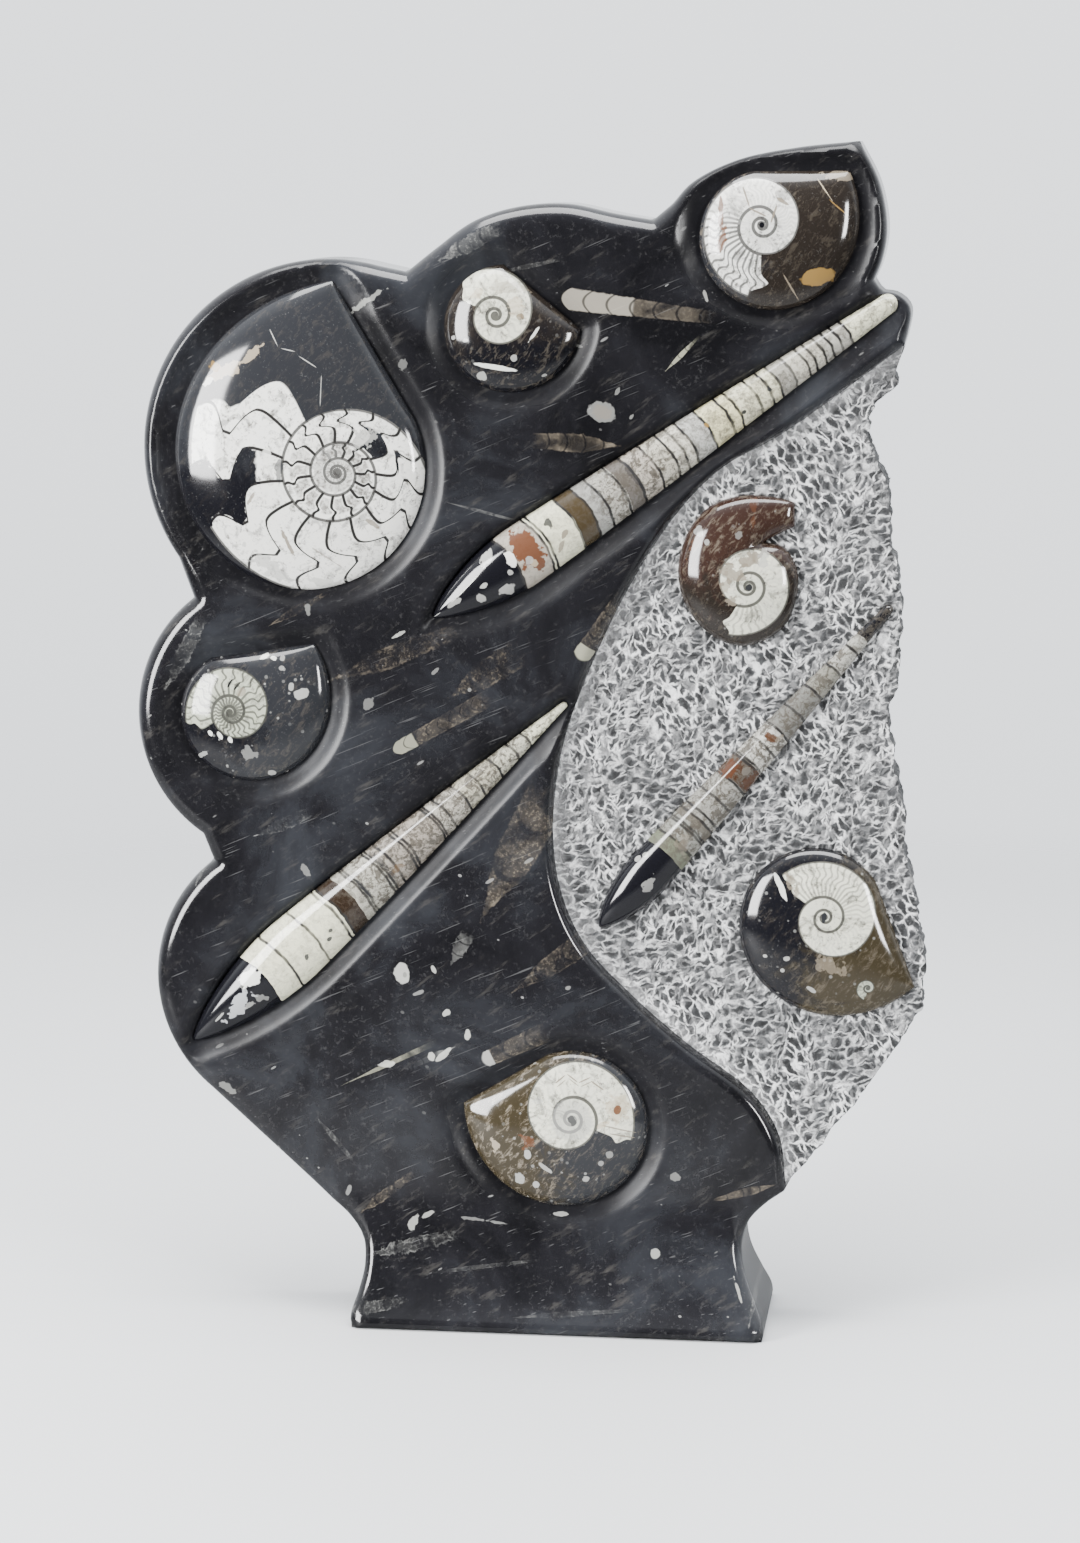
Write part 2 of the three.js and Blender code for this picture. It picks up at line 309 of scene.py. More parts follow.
def set_coordinates(mesh, co):
    mesh.vertices.foreach_set("co", (co * MM).ravel())
    mesh.update()


def set_selected_height(mesh, height):
    """Moves the selected vertices to one height towards the front."""
    co = coordinates(mesh)
    co[read(mesh.vertices, "select", kind=bool), 1] = -height
    set_coordinates(mesh, co)


def named(name):
    """The new primitive, with its name."""
    obj = bpy.context.object
    obj.name = obj.data.name = name
    return obj


def edit_selected(obj, kind, mask, *steps):
    """Selects the masked vertices, edges or faces and runs the steps in edit mode."""
    select_only(obj)
    bpy.ops.object.mode_set(mode="EDIT")
    bpy.ops.mesh.select_mode(type=kind)
    bpy.ops.mesh.select_all(action="DESELECT")
    bpy.ops.object.mode_set(mode="OBJECT")
    parts = {"VERT": obj.data.vertices, "EDGE": obj.data.edges, "FACE": obj.data.polygons}[kind]
    parts.foreach_set("select", np.asarray(mask, bool))
    bpy.ops.object.mode_set(mode="EDIT")
    for step in steps:
        step()
    bpy.ops.object.mode_set(mode="OBJECT")


def cut_along(obj, line, near):
    """Cuts the faces of a sheet along a closed line, after moving the vertices next to the line onto it."""
    mesh = obj.data
    co = coordinates(mesh)
    signed, nearest = measure(co[:, [0, 2]], line)
    close = np.abs(signed) < near
    co[close, 0], co[close, 2] = nearest[close, 0], nearest[close, 1]
    signed[close] = 0
    set_coordinates(mesh, co)
    bm = bmesh.new()
    bm.from_mesh(mesh)
    verts, edges = list(bm.verts), list(bm.edges)
    on_line = [verts[i] for i in np.flatnonzero(close)]
    ends = read(mesh.edges, "vertices", 2, int)
    first, second = signed[ends[:, 0]], signed[ends[:, 1]]
    for i in np.flatnonzero(first * second < 0):
        share = first[i] / (first[i] - second[i])
        on_line.append(bmesh.utils.edge_split(edges[i], verts[ends[i, 0]], share)[1])
    bmesh.ops.connect_verts(bm, verts=on_line)
    bm.to_mesh(mesh)
    bm.free()
    mesh.update()


def finish_piece(obj, slot, *nodes):
    """Closes a piece off: it rides on the slab's body and stands for its nodes; its slot is not used."""
    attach(obj, "root")
    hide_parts(*nodes)


# ---------------------------------------------------------------- the slab's relief

# Spacing of the sheet that becomes the slab's front, radius of the rounded rim, width of the rounded step
# down to the chiselled ground, how far round a fossil its recess is worked out, the heights at which the
# back is cut to follow the foot, and the angle above which an edge stays sharp
SPACING = 2.6
RIM = 12.0
GROUND_STEP = 9.0
RECESS_REACH = 45
FLARE_CUTS = (2, 5, 9, 14, 20, 27, 35, 44, 54, 65, 78, 92, 110)
SHARP = math.radians(60)

# The chiselled ground, carried on past the right edge of the slab
GROUND_AREA = np.vstack([spline(GROUND_CURVE), [(400, 96), (400, 641)]])


def is_broken(x, z):
    """How far points belong to the broken side, from 0 to 1."""
    return smooth(x, 120, 200) * smooth(z, 80, 110) * (1 - smooth(z, 632, 650))


def rim_radius(points, rim=RIM):
    """Radius of the rounded rim at points of the outline."""
    x, z = points[:, 0], points[:, 1]
    wide = rim * (1 + 0.5 * smooth(x, -100, -50) * smooth(z, 650, 700))
    lobes = wide + (1.2 - wide) * is_broken(x, z)
    foot = np.minimum(lobes, rim * (1 - 0.4 * (1 - smooth(z, 30, 90))))
    return np.where(z < 0.5, 5.0, foot)


def foot_flare(z):
    """How far the foot stands proud of the slab's front and back at a height."""
    return FOOT_REACH * np.clip((FOOT_FLARE_TOP - z) / (FOOT_FLARE_TOP - 4), 0, 1) ** 2.2


# Soft ridges left by the polishing wheel: points along the crest, height, width
CRESTS = [
    ([(-172, 313), (-196, 289), (-216, 266), (-230, 243), (-233, 221), (-226, 200)], 3.0, 15),
    ([(-222, 172), (-151, 210), (-91, 261), (-64, 289), (-18, 341), (14, 380)], 1.8, 17),
    ([(-212, 470), (-180, 476), (-140, 452), (-110, 430)], 1.2, 16),
    ([(-80, 640), (-66, 672), (-30, 700), (20, 708), (66, 700), (92, 706)], 1.6, 16),
]


def ridge(plan, line, height, width):
    """A soft ridge along a line, in millimetres above the face."""
    distance, _ = measure(plan, np.vstack([line, line[::-1]]))
    along = np.linalg.norm(plan - line[0], axis=1), np.linalg.norm(plan - line[-1], axis=1)
    fade = smooth(np.minimum(*along), 0, 22)
    peak = np.sqrt(np.abs(distance) ** 2 + 4.0)
    return height * fade * np.clip(1 - (peak - 2.0) / width, 0, 1) ** 2


def dish(distance, depth, width):
    """A dished channel beside a fossil: full depth at the fossil and a soft shoulder at the width."""
    t = np.clip(distance / width, 0, 1)
    return depth * (1 - t * t * (3 - 2 * t)) ** 1.3


def face_height(plan, outlines, outline, recess, rim=RIM * MM, ripple=0.9 * MM):
    """Height of the slab's front without the chisel marks, and how far inside the chiselled ground it is."""
    edge, nearest = measure(plan, outline)
    in_ground, _ = measure(plan, GROUND_AREA)
    radius = rim_radius(nearest, rim / MM)
    depth = recess / MM
    calm = smooth(edge, 0, 30) * smooth(-in_ground, 0, 20)
    height = FACE + ripple / MM * wobble(plan, 75, 5.0) * calm
    for points, rise, width in CRESTS:
        height += ridge(plan, spline(points), rise, width)
    for name, line in outlines.items():
        if is_in_ground(name):
            continue
        low, high = line.min(0) - RECESS_REACH, line.max(0) + RECESS_REACH
        near = ((plan > low) & (plan < high)).all(1)
        signed, _ = measure(plan[near], line)
        outside = np.maximum(0, -signed)
        if name in ORTHOCERAS:
            point, _, across, _ = orthoceras_frame(name)
            side = (plan[near] - point) @ across
            width = 5 + 14 * (1 - smooth(side, -6, 6))
            hollow = dish(outside, depth, width)
        else:
            rim_side = 1 - smooth(edge[near], 18, 34)
            crisp = depth * (1 - np.clip(outside / 16, 0, 1) ** 2)
            hollow = dish(outside, depth, 17) * (1 - rim_side) + crisp * rim_side
        raised = (height[near] - FACE) * smooth(outside, 0, 16)
        height[near] = np.minimum(height[near], FACE - hollow + raised)
    roll = np.clip(1 - edge / radius, 0, 1)
    height = np.minimum(height, FACE - radius * (1 - np.sqrt(1 - roll ** 2)))
    step = np.clip(1 + in_ground / GROUND_STEP, 0, 1)
    lowered = GROUND + (FACE - GROUND) * np.sqrt(np.maximum(0, 1 - step ** 2.2))
    height = np.where(in_ground > -GROUND_STEP, np.minimum(height, lowered), height)
    return height + foot_flare(plan[:, 1]), in_ground


def make_sheet(outline):
    """A flat upright sheet of even squares, trimmed to the outline."""
    deselect_all()
    low, high = outline.min(0), outline.max(0)
    size = high - low + 2 * SPACING
    bpy.ops.mesh.primitive_grid_add(
        x_subdivisions=int(size[0] / SPACING), y_subdivisions=int(size[1] / SPACING), size=1,
        rotation=(math.pi / 2, 0, 0), location=(0, 0, 0))
    obj = named("slab_carved")
    obj.scale = (size[0] * MM, size[1] * MM, 1)
    bpy.ops.object.transform_apply(location=False, rotation=True, scale=True)
    co = coordinates(obj.data)
    co += [(low[0] + high[0]) / 2, 0, (low[1] + high[1]) / 2]
    set_coordinates(obj.data, co)
    cut_along(obj, outline, 0.3 * SPACING)
    inside, _ = measure(face_centres(obj.data)[:, [0, 2]], outline)
    edit_selected(obj, "FACE", inside < 0, lambda: bpy.ops.mesh.delete(type="FACE"))
    return obj


def spread_rim(obj, outline):
    """Slides the vertices next to the outline so that they are evenly spaced once the rim is rounded."""
    co = coordinates(obj.data)
    plan = co[:, [0, 2]]
    edge, nearest = measure(plan, outline)
    radius = rim_radius(nearest)
    quarter = radius * math.pi / 2
    beyond = 14
    reach = quarter + beyond
    inset = np.where(edge < quarter, radius * (1 - np.cos(np.clip(edge / radius, 0, math.pi / 2))),
                     radius + (edge - quarter) / beyond * (reach - radius))
    move = (edge > 1e-3) & (edge < reach)
    towards = (plan - nearest) / np.maximum(edge, 1e-3)[:, None]
    plan = np.where(move[:, None], nearest + towards * inset[:, None], plan)
    co[:, 0], co[:, 2] = plan[:, 0], plan[:, 1]
    set_coordinates(obj.data, co)


def chisel(plan, outlines, rng):
    """Depth of short chisel strokes at points of the ground, from 0 to 1."""
    depth = np.zeros(len(plan))
    order = np.argsort(plan[:, 0])
    xs = plan[order, 0]
    low, high = plan.min(0), plan.max(0)
    rounds = [outlines[n] for n in (NOTCHED, "goniatite_lower_right")]
    pitch = 4.4
    for gx in np.arange(low[0], high[0], pitch):
        for gz in np.arange(low[1], high[1], pitch):
            at = np.array([gx, gz]) + rng.uniform(-0.5, 0.5, 2) * pitch
            swirl = noise.noise(Vector((at[0] / 34, at[1] / 34, 3.1)))
            angle = math.pi * (1.9 * swirl + 0.25) + rng.normal(0, 0.5)
            length, width = rng.uniform(4, 10), rng.uniform(2.2, 3.8)
            strength = rng.uniform(0.35, 1.0)
            for line in rounds:
                away = at - line.mean(0)
                if np.abs(np.linalg.norm(line - at, axis=1)).min() < 16:
                    angle = math.atan2(away[1], away[0]) + rng.normal(0, 0.3)
            reach = length / 2 + width
            first, last = np.searchsorted(xs, [at[0] - reach, at[0] + reach])
            some = order[first:last]
            some = some[np.abs(plan[some, 1] - at[1]) < reach]
            if not len(some):
                continue
            axis = np.array([math.cos(angle), math.sin(angle)])
            rel = plan[some] - at
            along = np.clip(rel @ axis, -length / 2, length / 2)
            q = np.linalg.norm(rel - along[:, None] * axis, axis=1) / (width / 2)
            depth[some] = np.maximum(depth[some], strength * np.maximum(0, 1 - q * q))
    return depth


def wobble(points, scale, seed):
    """Smooth noise, about -1 to 1, at plan points."""
    return np.array([noise.noise(Vector((x / scale, z / scale, seed))) for x, z in points])


def store(mesh, name, values):
    """Keeps a number for each vertex, for the materials to read."""
    attribute = mesh.attributes.get(name) or mesh.attributes.new(name, "FLOAT", "POINT")
    attribute.data.foreach_set("value", np.asarray(values, np.float32))


def make_slab(settings):
    outline = slab_outline()
    outlines = fossil_outlines()
    obj = make_sheet(outline)
    spread_rim(obj, outline)
    mesh = obj.data
    inside, _ = measure(face_centres(mesh)[:, [0, 2]], GROUND_AREA)
    edit_selected(obj, "FACE", inside > -13, lambda: bpy.ops.mesh.subdivide(number_cuts=1))
    cut_along(obj, GROUND_AREA, 0.35)
    for line in outlines.values():
        cut_along(obj, line, 0.4)
    co = coordinates(mesh)
    plan = co[:, [0, 2]]
    height, in_ground = face_height(plan, outlines, outline, settings.recess, settings.rim, settings.ripple)
    rough = np.flatnonzero(in_ground > -0.5)
    depth = chisel(plan[rough], outlines, np.random.default_rng(11))
    uneven = 1.5 * wobble(plan[rough], 28, 1.0) + 0.9 * wobble(plan[rough], 6, 2.0)
    height[rough] += smooth(in_ground[rough], 0, 3) * (uneven - settings.chisel / MM * depth)
    bruised = np.zeros(len(co))
    bruised[rough] = depth
    low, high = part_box("slab")
    co[:, 0] = np.clip(co[:, 0], low[0] / MM, high[0] / MM)
    co[:, 1] = -height
    set_coordinates(mesh, co)
    recess = np.zeros(len(co))
    for name, line in outlines.items():
        if not is_in_ground(name):
            close = ((plan > line.min(0) - 30) & (plan < line.max(0) + 30)).all(1)
            outside, _ = measure(plan[close], line)
            recess[close] = np.maximum(recess[close], 1 - smooth(-outside, 5, 24))
    store(mesh, "bruise", bruised)
    store(mesh, "ground", in_ground)
    store(mesh, "recess", recess)
    sink_pockets(obj, outlines)
    close_slab(obj)
    select_only(obj)
    bpy.ops.object.shade_smooth_by_angle(angle=SHARP)
    finish_piece(obj, "limestone", "slab")
    return obj


def sink_pockets(obj, outlines):
    """Sinks the pocket that each fossil sits in, with one flat face for its floor."""
    for name, line in outlines.items():
        inside, _ = measure(face_centres(obj.data)[:, [0, 2]], line)
        edit_selected(obj, "FACE", inside > 0, lambda: bpy.ops.mesh.extrude_region_move(
            TRANSFORM_OT_translate={"value": (0, 0, 0)}))
        set_selected_height(obj.data, (GROUND if is_in_ground(name) else FACE - RECESS) - SEAT)
        bpy.ops.object.mode_set(mode="EDIT")
        bpy.ops.mesh.dissolve_faces()
        bpy.ops.object.mode_set(mode="OBJECT")


def close_slab(obj):
    """Draws the side wall back from the front's edge, breaks it on the rough side, and closes the back."""
    mesh = obj.data
    bm = bmesh.new()
    bm.from_mesh(mesh)
    rim = [e for e in bm.edges if e.is_boundary]
    rows = 12
    wall = []
    start = {}
    for k in range(1, rows + 1):
        made = bmesh.ops.extrude_edge_only(bm, edges=rim)["geom"]
        rim = [g for g in made if isinstance(g, bmesh.types.BMEdge) and g.is_boundary]
        verts = {v for e in rim for v in e.verts}
        for v in verts:
            key = (round(v.co.x, 7), round(v.co.z, 7))
            start.setdefault(key, v.co.y)
            v.co.y = start[key] + (back_at(v.co.z / MM) - start[key]) * k / rows
        wall += [(v, k) for v in verts]
    back = bmesh.ops.contextual_create(bm, geom=rim)["faces"]
    for z in FLARE_CUTS:
        edges = {e for f in back for e in f.edges}
        verts = {v for f in back for v in f.verts}
        cut = bmesh.ops.bisect_plane(bm, geom=list(back) + list(edges) + list(verts), dist=1e-6,
                                     plane_co=(0, 0, z * MM), plane_no=(0, 0, 1))
        for v in [g for g in cut["geom_cut"] if isinstance(g, bmesh.types.BMVert)]:
            v.co.y = back_at(z)
        back = [g for g in cut["geom"] if isinstance(g, bmesh.types.BMFace)]
    for v, k in wall:
        x, z = v.co.x / MM, v.co.z / MM
        broken = float(smooth(x, 150, 175) * smooth(z, 96, 112) * (1 - smooth(z, 628, 640)))
        if broken > 0:
            place = Vector((x / 11, v.co.y / MM / 9, z / 11))
            chip = noise.fractal(place, 0.9, 2.2, 4) * 2.6 + 1.4
            v.co.x -= max(0.0, chip) * broken * MM * min(1.0, k / 2)
    bmesh.ops.recalc_face_normals(bm, faces=bm.faces)
    bm.to_mesh(mesh)
    bm.free()
    mesh.update()


def back_at(z):
    """Place of the slab's back at a height above the foot's base, in metres."""
    return (-BACK + float(foot_flare(z))) * MM


# ---------------------------------------------------------------- goniatites

def closed_steps(line, count):
    """A closed outline that ends with a straight cut, resampled to count points with its two corners kept."""
    curve = np.linalg.norm(np.diff(line, axis=0), axis=1).sum()
    cut = np.linalg.norm(line[0] - line[-1])
    on_cut = max(4, round(count * cut / (cut + curve)))
    return np.vstack([resample(line, count - on_cut + 1)[:-1],
                      resample(np.vstack([line[-1], line[0]]), on_cut + 1)[:-1]])


def signed_area(line):
    """Area inside a closed line, below 0 if it runs clockwise."""
    x, z = line[:, 0], line[:, 1]
    return 0.5 * (x * np.roll(z, -1) - z * np.roll(x, -1)).sum()


def inflate(plan, triangles, fixed):
    """How full a skin stretched over the outline and blown up is at each point, from 0 at the fixed
    points of the edge to 1 at the top."""
    edges, weights = [], []
    area = np.zeros(len(plan))
    for i, j, k in ((0, 1, 2), (1, 2, 0), (2, 0, 1)):
        u = plan[triangles[:, j]] - plan[triangles[:, i]]
        v = plan[triangles[:, k]] - plan[triangles[:, i]]
        twice = np.abs(u[:, 0] * v[:, 1] - u[:, 1] * v[:, 0])
        edges.append(triangles[:, [j, k]])
        weights.append(0.5 * (u * v).sum(1) / np.maximum(twice, 1e-9))
        area += np.bincount(triangles[:, i], twice / 6, len(plan))
    edges, weights = np.vstack(edges), np.concatenate(weights)
    free = ~fixed
    diagonal = (np.bincount(edges[:, 0], weights, len(plan)) + np.bincount(edges[:, 1], weights, len(plan)))
    diagonal = np.maximum(diagonal, 1e-9)

    def stiffness(x):
        flow = weights * (x[edges[:, 0]] - x[edges[:, 1]])
        return free * (np.bincount(edges[:, 0], flow, len(plan)) - np.bincount(edges[:, 1], flow, len(plan)))

    x = np.zeros(len(plan))
    residual = free * area
    step = z = residual / diagonal
    energy = residual @ z
    for _ in range(900):
        moved = stiffness(step)
        rate = energy / (step @ moved)
        x = x + rate * step
        residual = residual - rate * moved
        z = residual / diagonal
        energy, old = residual @ z, energy
        if energy < 1e-12 * area.sum():
            break
        step = z + energy / old * step
    return np.clip(x / x.max(), 0, 1)


def make_goniatite(name, small_rise, base_of):
    """A domed fossil: half a ball drawn out to the outline, blown up, and given a wall and a bottom."""
    line = fossil_outlines()[name]
    centre, share = NOTCHED_CENTRE, 1.0
    if name in GONIATITES:
        centre, *_, share, _in_ground = GONIATITES[name]
    rise = share * small_rise / MM
    segments, rings = (260, 40) if np.ptp(line[:, 0]) > 150 else (180, 28)
    centre = np.array(centre, float)
    if signed_area(line) < 0:
        line = line[::-1]
    rim = closed_steps(line, segments)
    deselect_all()
    bpy.ops.mesh.primitive_uv_sphere_add(segments=segments, ring_count=2 * rings, radius=1)
    obj = named(name + "_polished")
    mesh = obj.data
    co = coordinates(mesh) * MM
    edit_selected(obj, "VERT", co[:, 2] < -1e-4, lambda: bpy.ops.mesh.delete(type="VERT"))
    co = coordinates(mesh) * MM
    turn = np.arctan2(co[:, 1], co[:, 0]) / (2 * math.pi) * segments
    spoke = np.round(turn).astype(int) % segments
    share = np.hypot(co[:, 0], co[:, 1])[:, None]
    plan = centre + share * (rim[spoke] - centre)
    mesh.calc_loop_triangles()
    triangles = np.array([t.vertices for t in mesh.loop_triangles])
    fixed = co[:, 2] < 1e-4
    full = inflate(plan, triangles, fixed)
    base = base_of(rim)
    middle = base.mean()
    edge_height = base[spoke] * share[:, 0] + middle * (1 - share[:, 0])
    height = edge_height + rise * np.sqrt(full)
    set_coordinates(mesh, np.column_stack([plan[:, 0], -height, plan[:, 1]]))
    wall_and_bottom(obj, min(base.min() - 4, middle - SEAT + JOINT))
    return obj


def wall_and_bottom(obj, bottom):
    """Draws the open edge straight back to the bottom of the pocket and closes it there."""
    mesh = obj.data
    uses = np.bincount(read(mesh.loops, "edge_index", kind=int), minlength=len(mesh.edges))
    edit_selected(obj, "EDGE", uses == 1, lambda: bpy.ops.mesh.extrude_edges_move(
        TRANSFORM_OT_translate={"value": (0, MM, 0)}))
    set_selected_height(mesh, bottom)
    select_only(obj)
    bpy.ops.object.mode_set(mode="EDIT")
    bpy.ops.mesh.edge_face_add()
    bpy.ops.mesh.select_all(action="SELECT")
    bpy.ops.mesh.remove_doubles(threshold=0.00002)
    bpy.ops.mesh.normals_make_consistent(inside=False)
    bpy.ops.object.mode_set(mode="OBJECT")
    bpy.ops.object.shade_smooth_by_angle(angle=SHARP)


def make_orthoceras(name, base_of, along=150, across=30):
    """A long domed shell: a grid drawn out along the axis and rounded across it."""
    half, thin, tip, rise = ORTHOCERAS[name][2:6]
    point, axis, normal, length = orthoceras_frame(name)
    deselect_all()
    bpy.ops.mesh.primitive_grid_add(x_subdivisions=along, y_subdivisions=across, size=2)
    obj = named(name + "_polished")
    mesh = obj.data
    co = coordinates(mesh) * MM
    u, v = co[:, 0], co[:, 1]
    t = 0.5 + 0.5 * np.sin(u * math.pi / 2)
    w = half_width(t, length, half, thin, tip)
    side = np.sin(v * math.pi / 2)
    middle = point + (t * length)[:, None] * axis
    plan = middle + (w * side)[:, None] * normal
    upper, lower = (base_of(middle + way * w[:, None] * normal) for way in (1, -1))
    base = (upper * (1 + side) + lower * (1 - side)) / 2
    height = base + rise * (w / half) ** 0.85 * np.cos(v * math.pi / 2)
    set_coordinates(mesh, np.column_stack([plan[:, 0], -height, plan[:, 1]]))
    uv = mesh.uv_layers.active or mesh.uv_layers.new()
    uv.name = "shell"
    place = np.column_stack([t, 0.5 + side / 2])[read(mesh.loops, "vertex_index", kind=int)]
    uv.data.foreach_set("uv", place.ravel().astype(np.float32))
    wall_and_bottom(obj, base.min() - SEAT + JOINT)
    return obj


# ---------------------------------------------------------------- shader nodes

class Nodes:
    """Adds nodes to a shader tree. Each method takes numbers or sockets and gives back a socket."""

    def __init__(self, tree):
        self.tree = tree

    def add(self, kind, **settings):
        node = self.tree.nodes.new(("" if kind.startswith("NodeGroup") else "ShaderNode") + kind)
        for key, value in settings.items():
            setattr(node, key, value)
        return node

    def plug(self, value, socket):
        if isinstance(value, bpy.types.NodeSocket):
            self.tree.links.new(value, socket)
        elif value is not None:
            if socket.type == "RGBA" and len(value) == 3:
                value = (*value, 1)
            socket.default_value = value

    def math(self, operation, a, b=None, c=None, clamp=False):
        node = self.add("Math", operation=operation, use_clamp=clamp)
        for value, socket in zip((a, b, c), node.inputs):
            self.plug(value, socket)
        return node.outputs[0]

    def times(self, a, b, clamp=False):
        return self.math("MULTIPLY", a, b, clamp=clamp)

    def plus(self, a, b):
        return self.math("ADD", a, b)

    def minus(self, a, b):
        return self.math("SUBTRACT", a, b)

    def most(self, a, b):
        return self.math("MAXIMUM", a, b)

    def least(self, a, b):
        return self.math("MINIMUM", a, b)

    def scaled(self, value, factor, offset, clamp=False):
        return self.math("MULTIPLY_ADD", value, factor, offset, clamp)

    def within(self, value, low, high, soft):
        """1 where the value lies between low and high, with soft ends."""
        rise = self.step(value, low - soft, low + soft)
        fall = self.step(value, high - soft, high + soft, 1, 0)
        return self.times(rise, fall)

    def vector(self, operation, a, b=None, out="Vector"):
        node = self.add("VectorMath", operation=operation)
        self.plug(a, node.inputs[0])
        self.plug(b, node.inputs[1])
        return node.outputs[out]

    def split(self, vector):
        node = self.add("SeparateXYZ")
        self.plug(vector, node.inputs[0])
        return node.outputs[0], node.outputs[1], node.outputs[2]

    def join(self, x, y, z):
        node = self.add("CombineXYZ")
        for value, socket in zip((x, y, z), node.inputs):
            self.plug(value, socket)
        return node.outputs[0]

    def mapping(self, vector, location=(0, 0, 0), rotation=(0, 0, 0), scale=(1, 1, 1), kind="POINT"):
        node = self.add("Mapping", vector_type=kind)
        self.plug(vector, node.inputs["Vector"])
        node.inputs["Location"].default_value = location
        node.inputs["Rotation"].default_value = rotation
        node.inputs["Scale"].default_value = scale
        return node.outputs[0]

    def stretched(self, vector, angle, stretch):
        """The place turned in the plane of the face, with a pattern drawn out that many times."""
        return self.mapping(vector, (0, 0, 0), (0, angle, 0), (stretch, 1, 1), "TEXTURE")

    def oval(self, vector, x, z, half, wide, angle):
        """Coordinates in which an oval, given in millimetres and degrees, is the unit circle."""
        turn = (0, -math.radians(angle), 0)
        return self.mapping(vector, (x * MM, 0, z * MM), turn, (half * MM, 1, wide * MM), "TEXTURE")

    def mix(self, factor, a, b):
        node = self.add("Mix", data_type="RGBA")
        self.plug(factor, node.inputs[0])
        self.plug(a, node.inputs[6])
        self.plug(b, node.inputs[7])
        return node.outputs[2]

    def noise(self, vector, size, detail=2.0, roughness=0.5, distortion=0.0, out="Fac"):
        """Noise whose features are about size metres across."""
        node = self.add("TexNoise")
        given = {"Vector": vector, "Scale": 1 / size, "Detail": detail, "Roughness": roughness,
                 "Distortion": distortion}
        for socket, value in given.items():
            self.plug(value, node.inputs[socket])
        return node.outputs[out]

    def cells(self, vector, scale, feature="F1"):
        """Random cells, that many to a metre, with all their outputs."""
        node = self.add("TexVoronoi", feature=feature)
        self.plug(vector, node.inputs["Vector"])
        self.plug(scale, node.inputs["Scale"])
        return node.outputs

    def step(self, value, low, high, start=0.0, end=1.0):
        """A smooth step from start to end as value goes from low to high."""
        node = self.add("MapRange", interpolation_type="SMOOTHSTEP")
        given = {"Value": value, "From Min": low, "From Max": high, "To Min": start, "To Max": end}
        for socket, number in given.items():
            self.plug(number, node.inputs[socket])
        return node.outputs[0]

    def ramp(self, factor, stops, interpolation="LINEAR"):
        node = self.add("ValToRGB")
        ramp = node.color_ramp
        ramp.interpolation = interpolation
        while len(ramp.elements) < len(stops):
            ramp.elements.new(0.5)
        for element, (place, _) in zip(ramp.elements, stops):
            element.position = place
        for element, (_, colour) in zip(ramp.elements, stops):
            grey = isinstance(colour, (int, float))
            element.color = (colour, colour, colour, 1) if grey else (*colour, 1)
        self.plug(factor, node.inputs[0])
        return node.outputs[0]

    def group(self, tree, **values):
        node = self.add("Group", node_tree=tree)
        for key, value in values.items():
            self.plug(value, node.inputs[key.replace("_", " ")])
        return node.outputs


def new_group(name, inputs, outputs):
    """A shader node group with its sockets, and the nodes to fill it.

    An input without a default is a vector. The others and all the outputs are numbers.
    """
    tree = bpy.data.node_groups.new(name, "ShaderNodeTree")
    for label, default in inputs.items():
        kind = "NodeSocketVector" if default is None else "NodeSocketFloat"
        socket = tree.interface.new_socket(name=label, in_out="INPUT", socket_type=kind)
        if default is not None:
            socket.default_value = default
    for label in outputs:
        tree.interface.new_socket(name=label, in_out="OUTPUT", socket_type="NodeSocketFloat")
    nodes = Nodes(tree)
    return tree, nodes, nodes.add("NodeGroupInput").outputs, nodes.add("NodeGroupOutput").inputs


def new_material(name, **constants):
    """A material with its Principled shader, whose constant inputs are set on the shader itself."""
    material = bpy.data.materials.new(name)
    material.use_nodes = True
    shader = material.node_tree.nodes["Principled BSDF"]
    for key, value in constants.items():
        shader.inputs[key.replace("_", " ")].default_value = value
    nodes = Nodes(material.node_tree)
    place = nodes.add("TexCoord").outputs["Object"]
    return material, nodes, shader, place


def bump(nodes, shader, height, strength, distance):
    node = nodes.add("Bump")
    node.inputs["Strength"].default_value = strength
    node.inputs["Distance"].default_value = distance
    nodes.plug(height, node.inputs["Height"])
    nodes.plug(node.outputs[0], shader.inputs["Normal"])


# How far a chamber wall is bent forwards at each share of the way across its whorl
LOBES = ((0, 0.08), (0.25, 0.0), (0.45, 0.0), (0.57, 0.06), (0.65, 0.5), (0.73, 1.2), (0.76, 1.1),
         (0.83, 0.72), (0.91, 0.5), (1, 0.75))


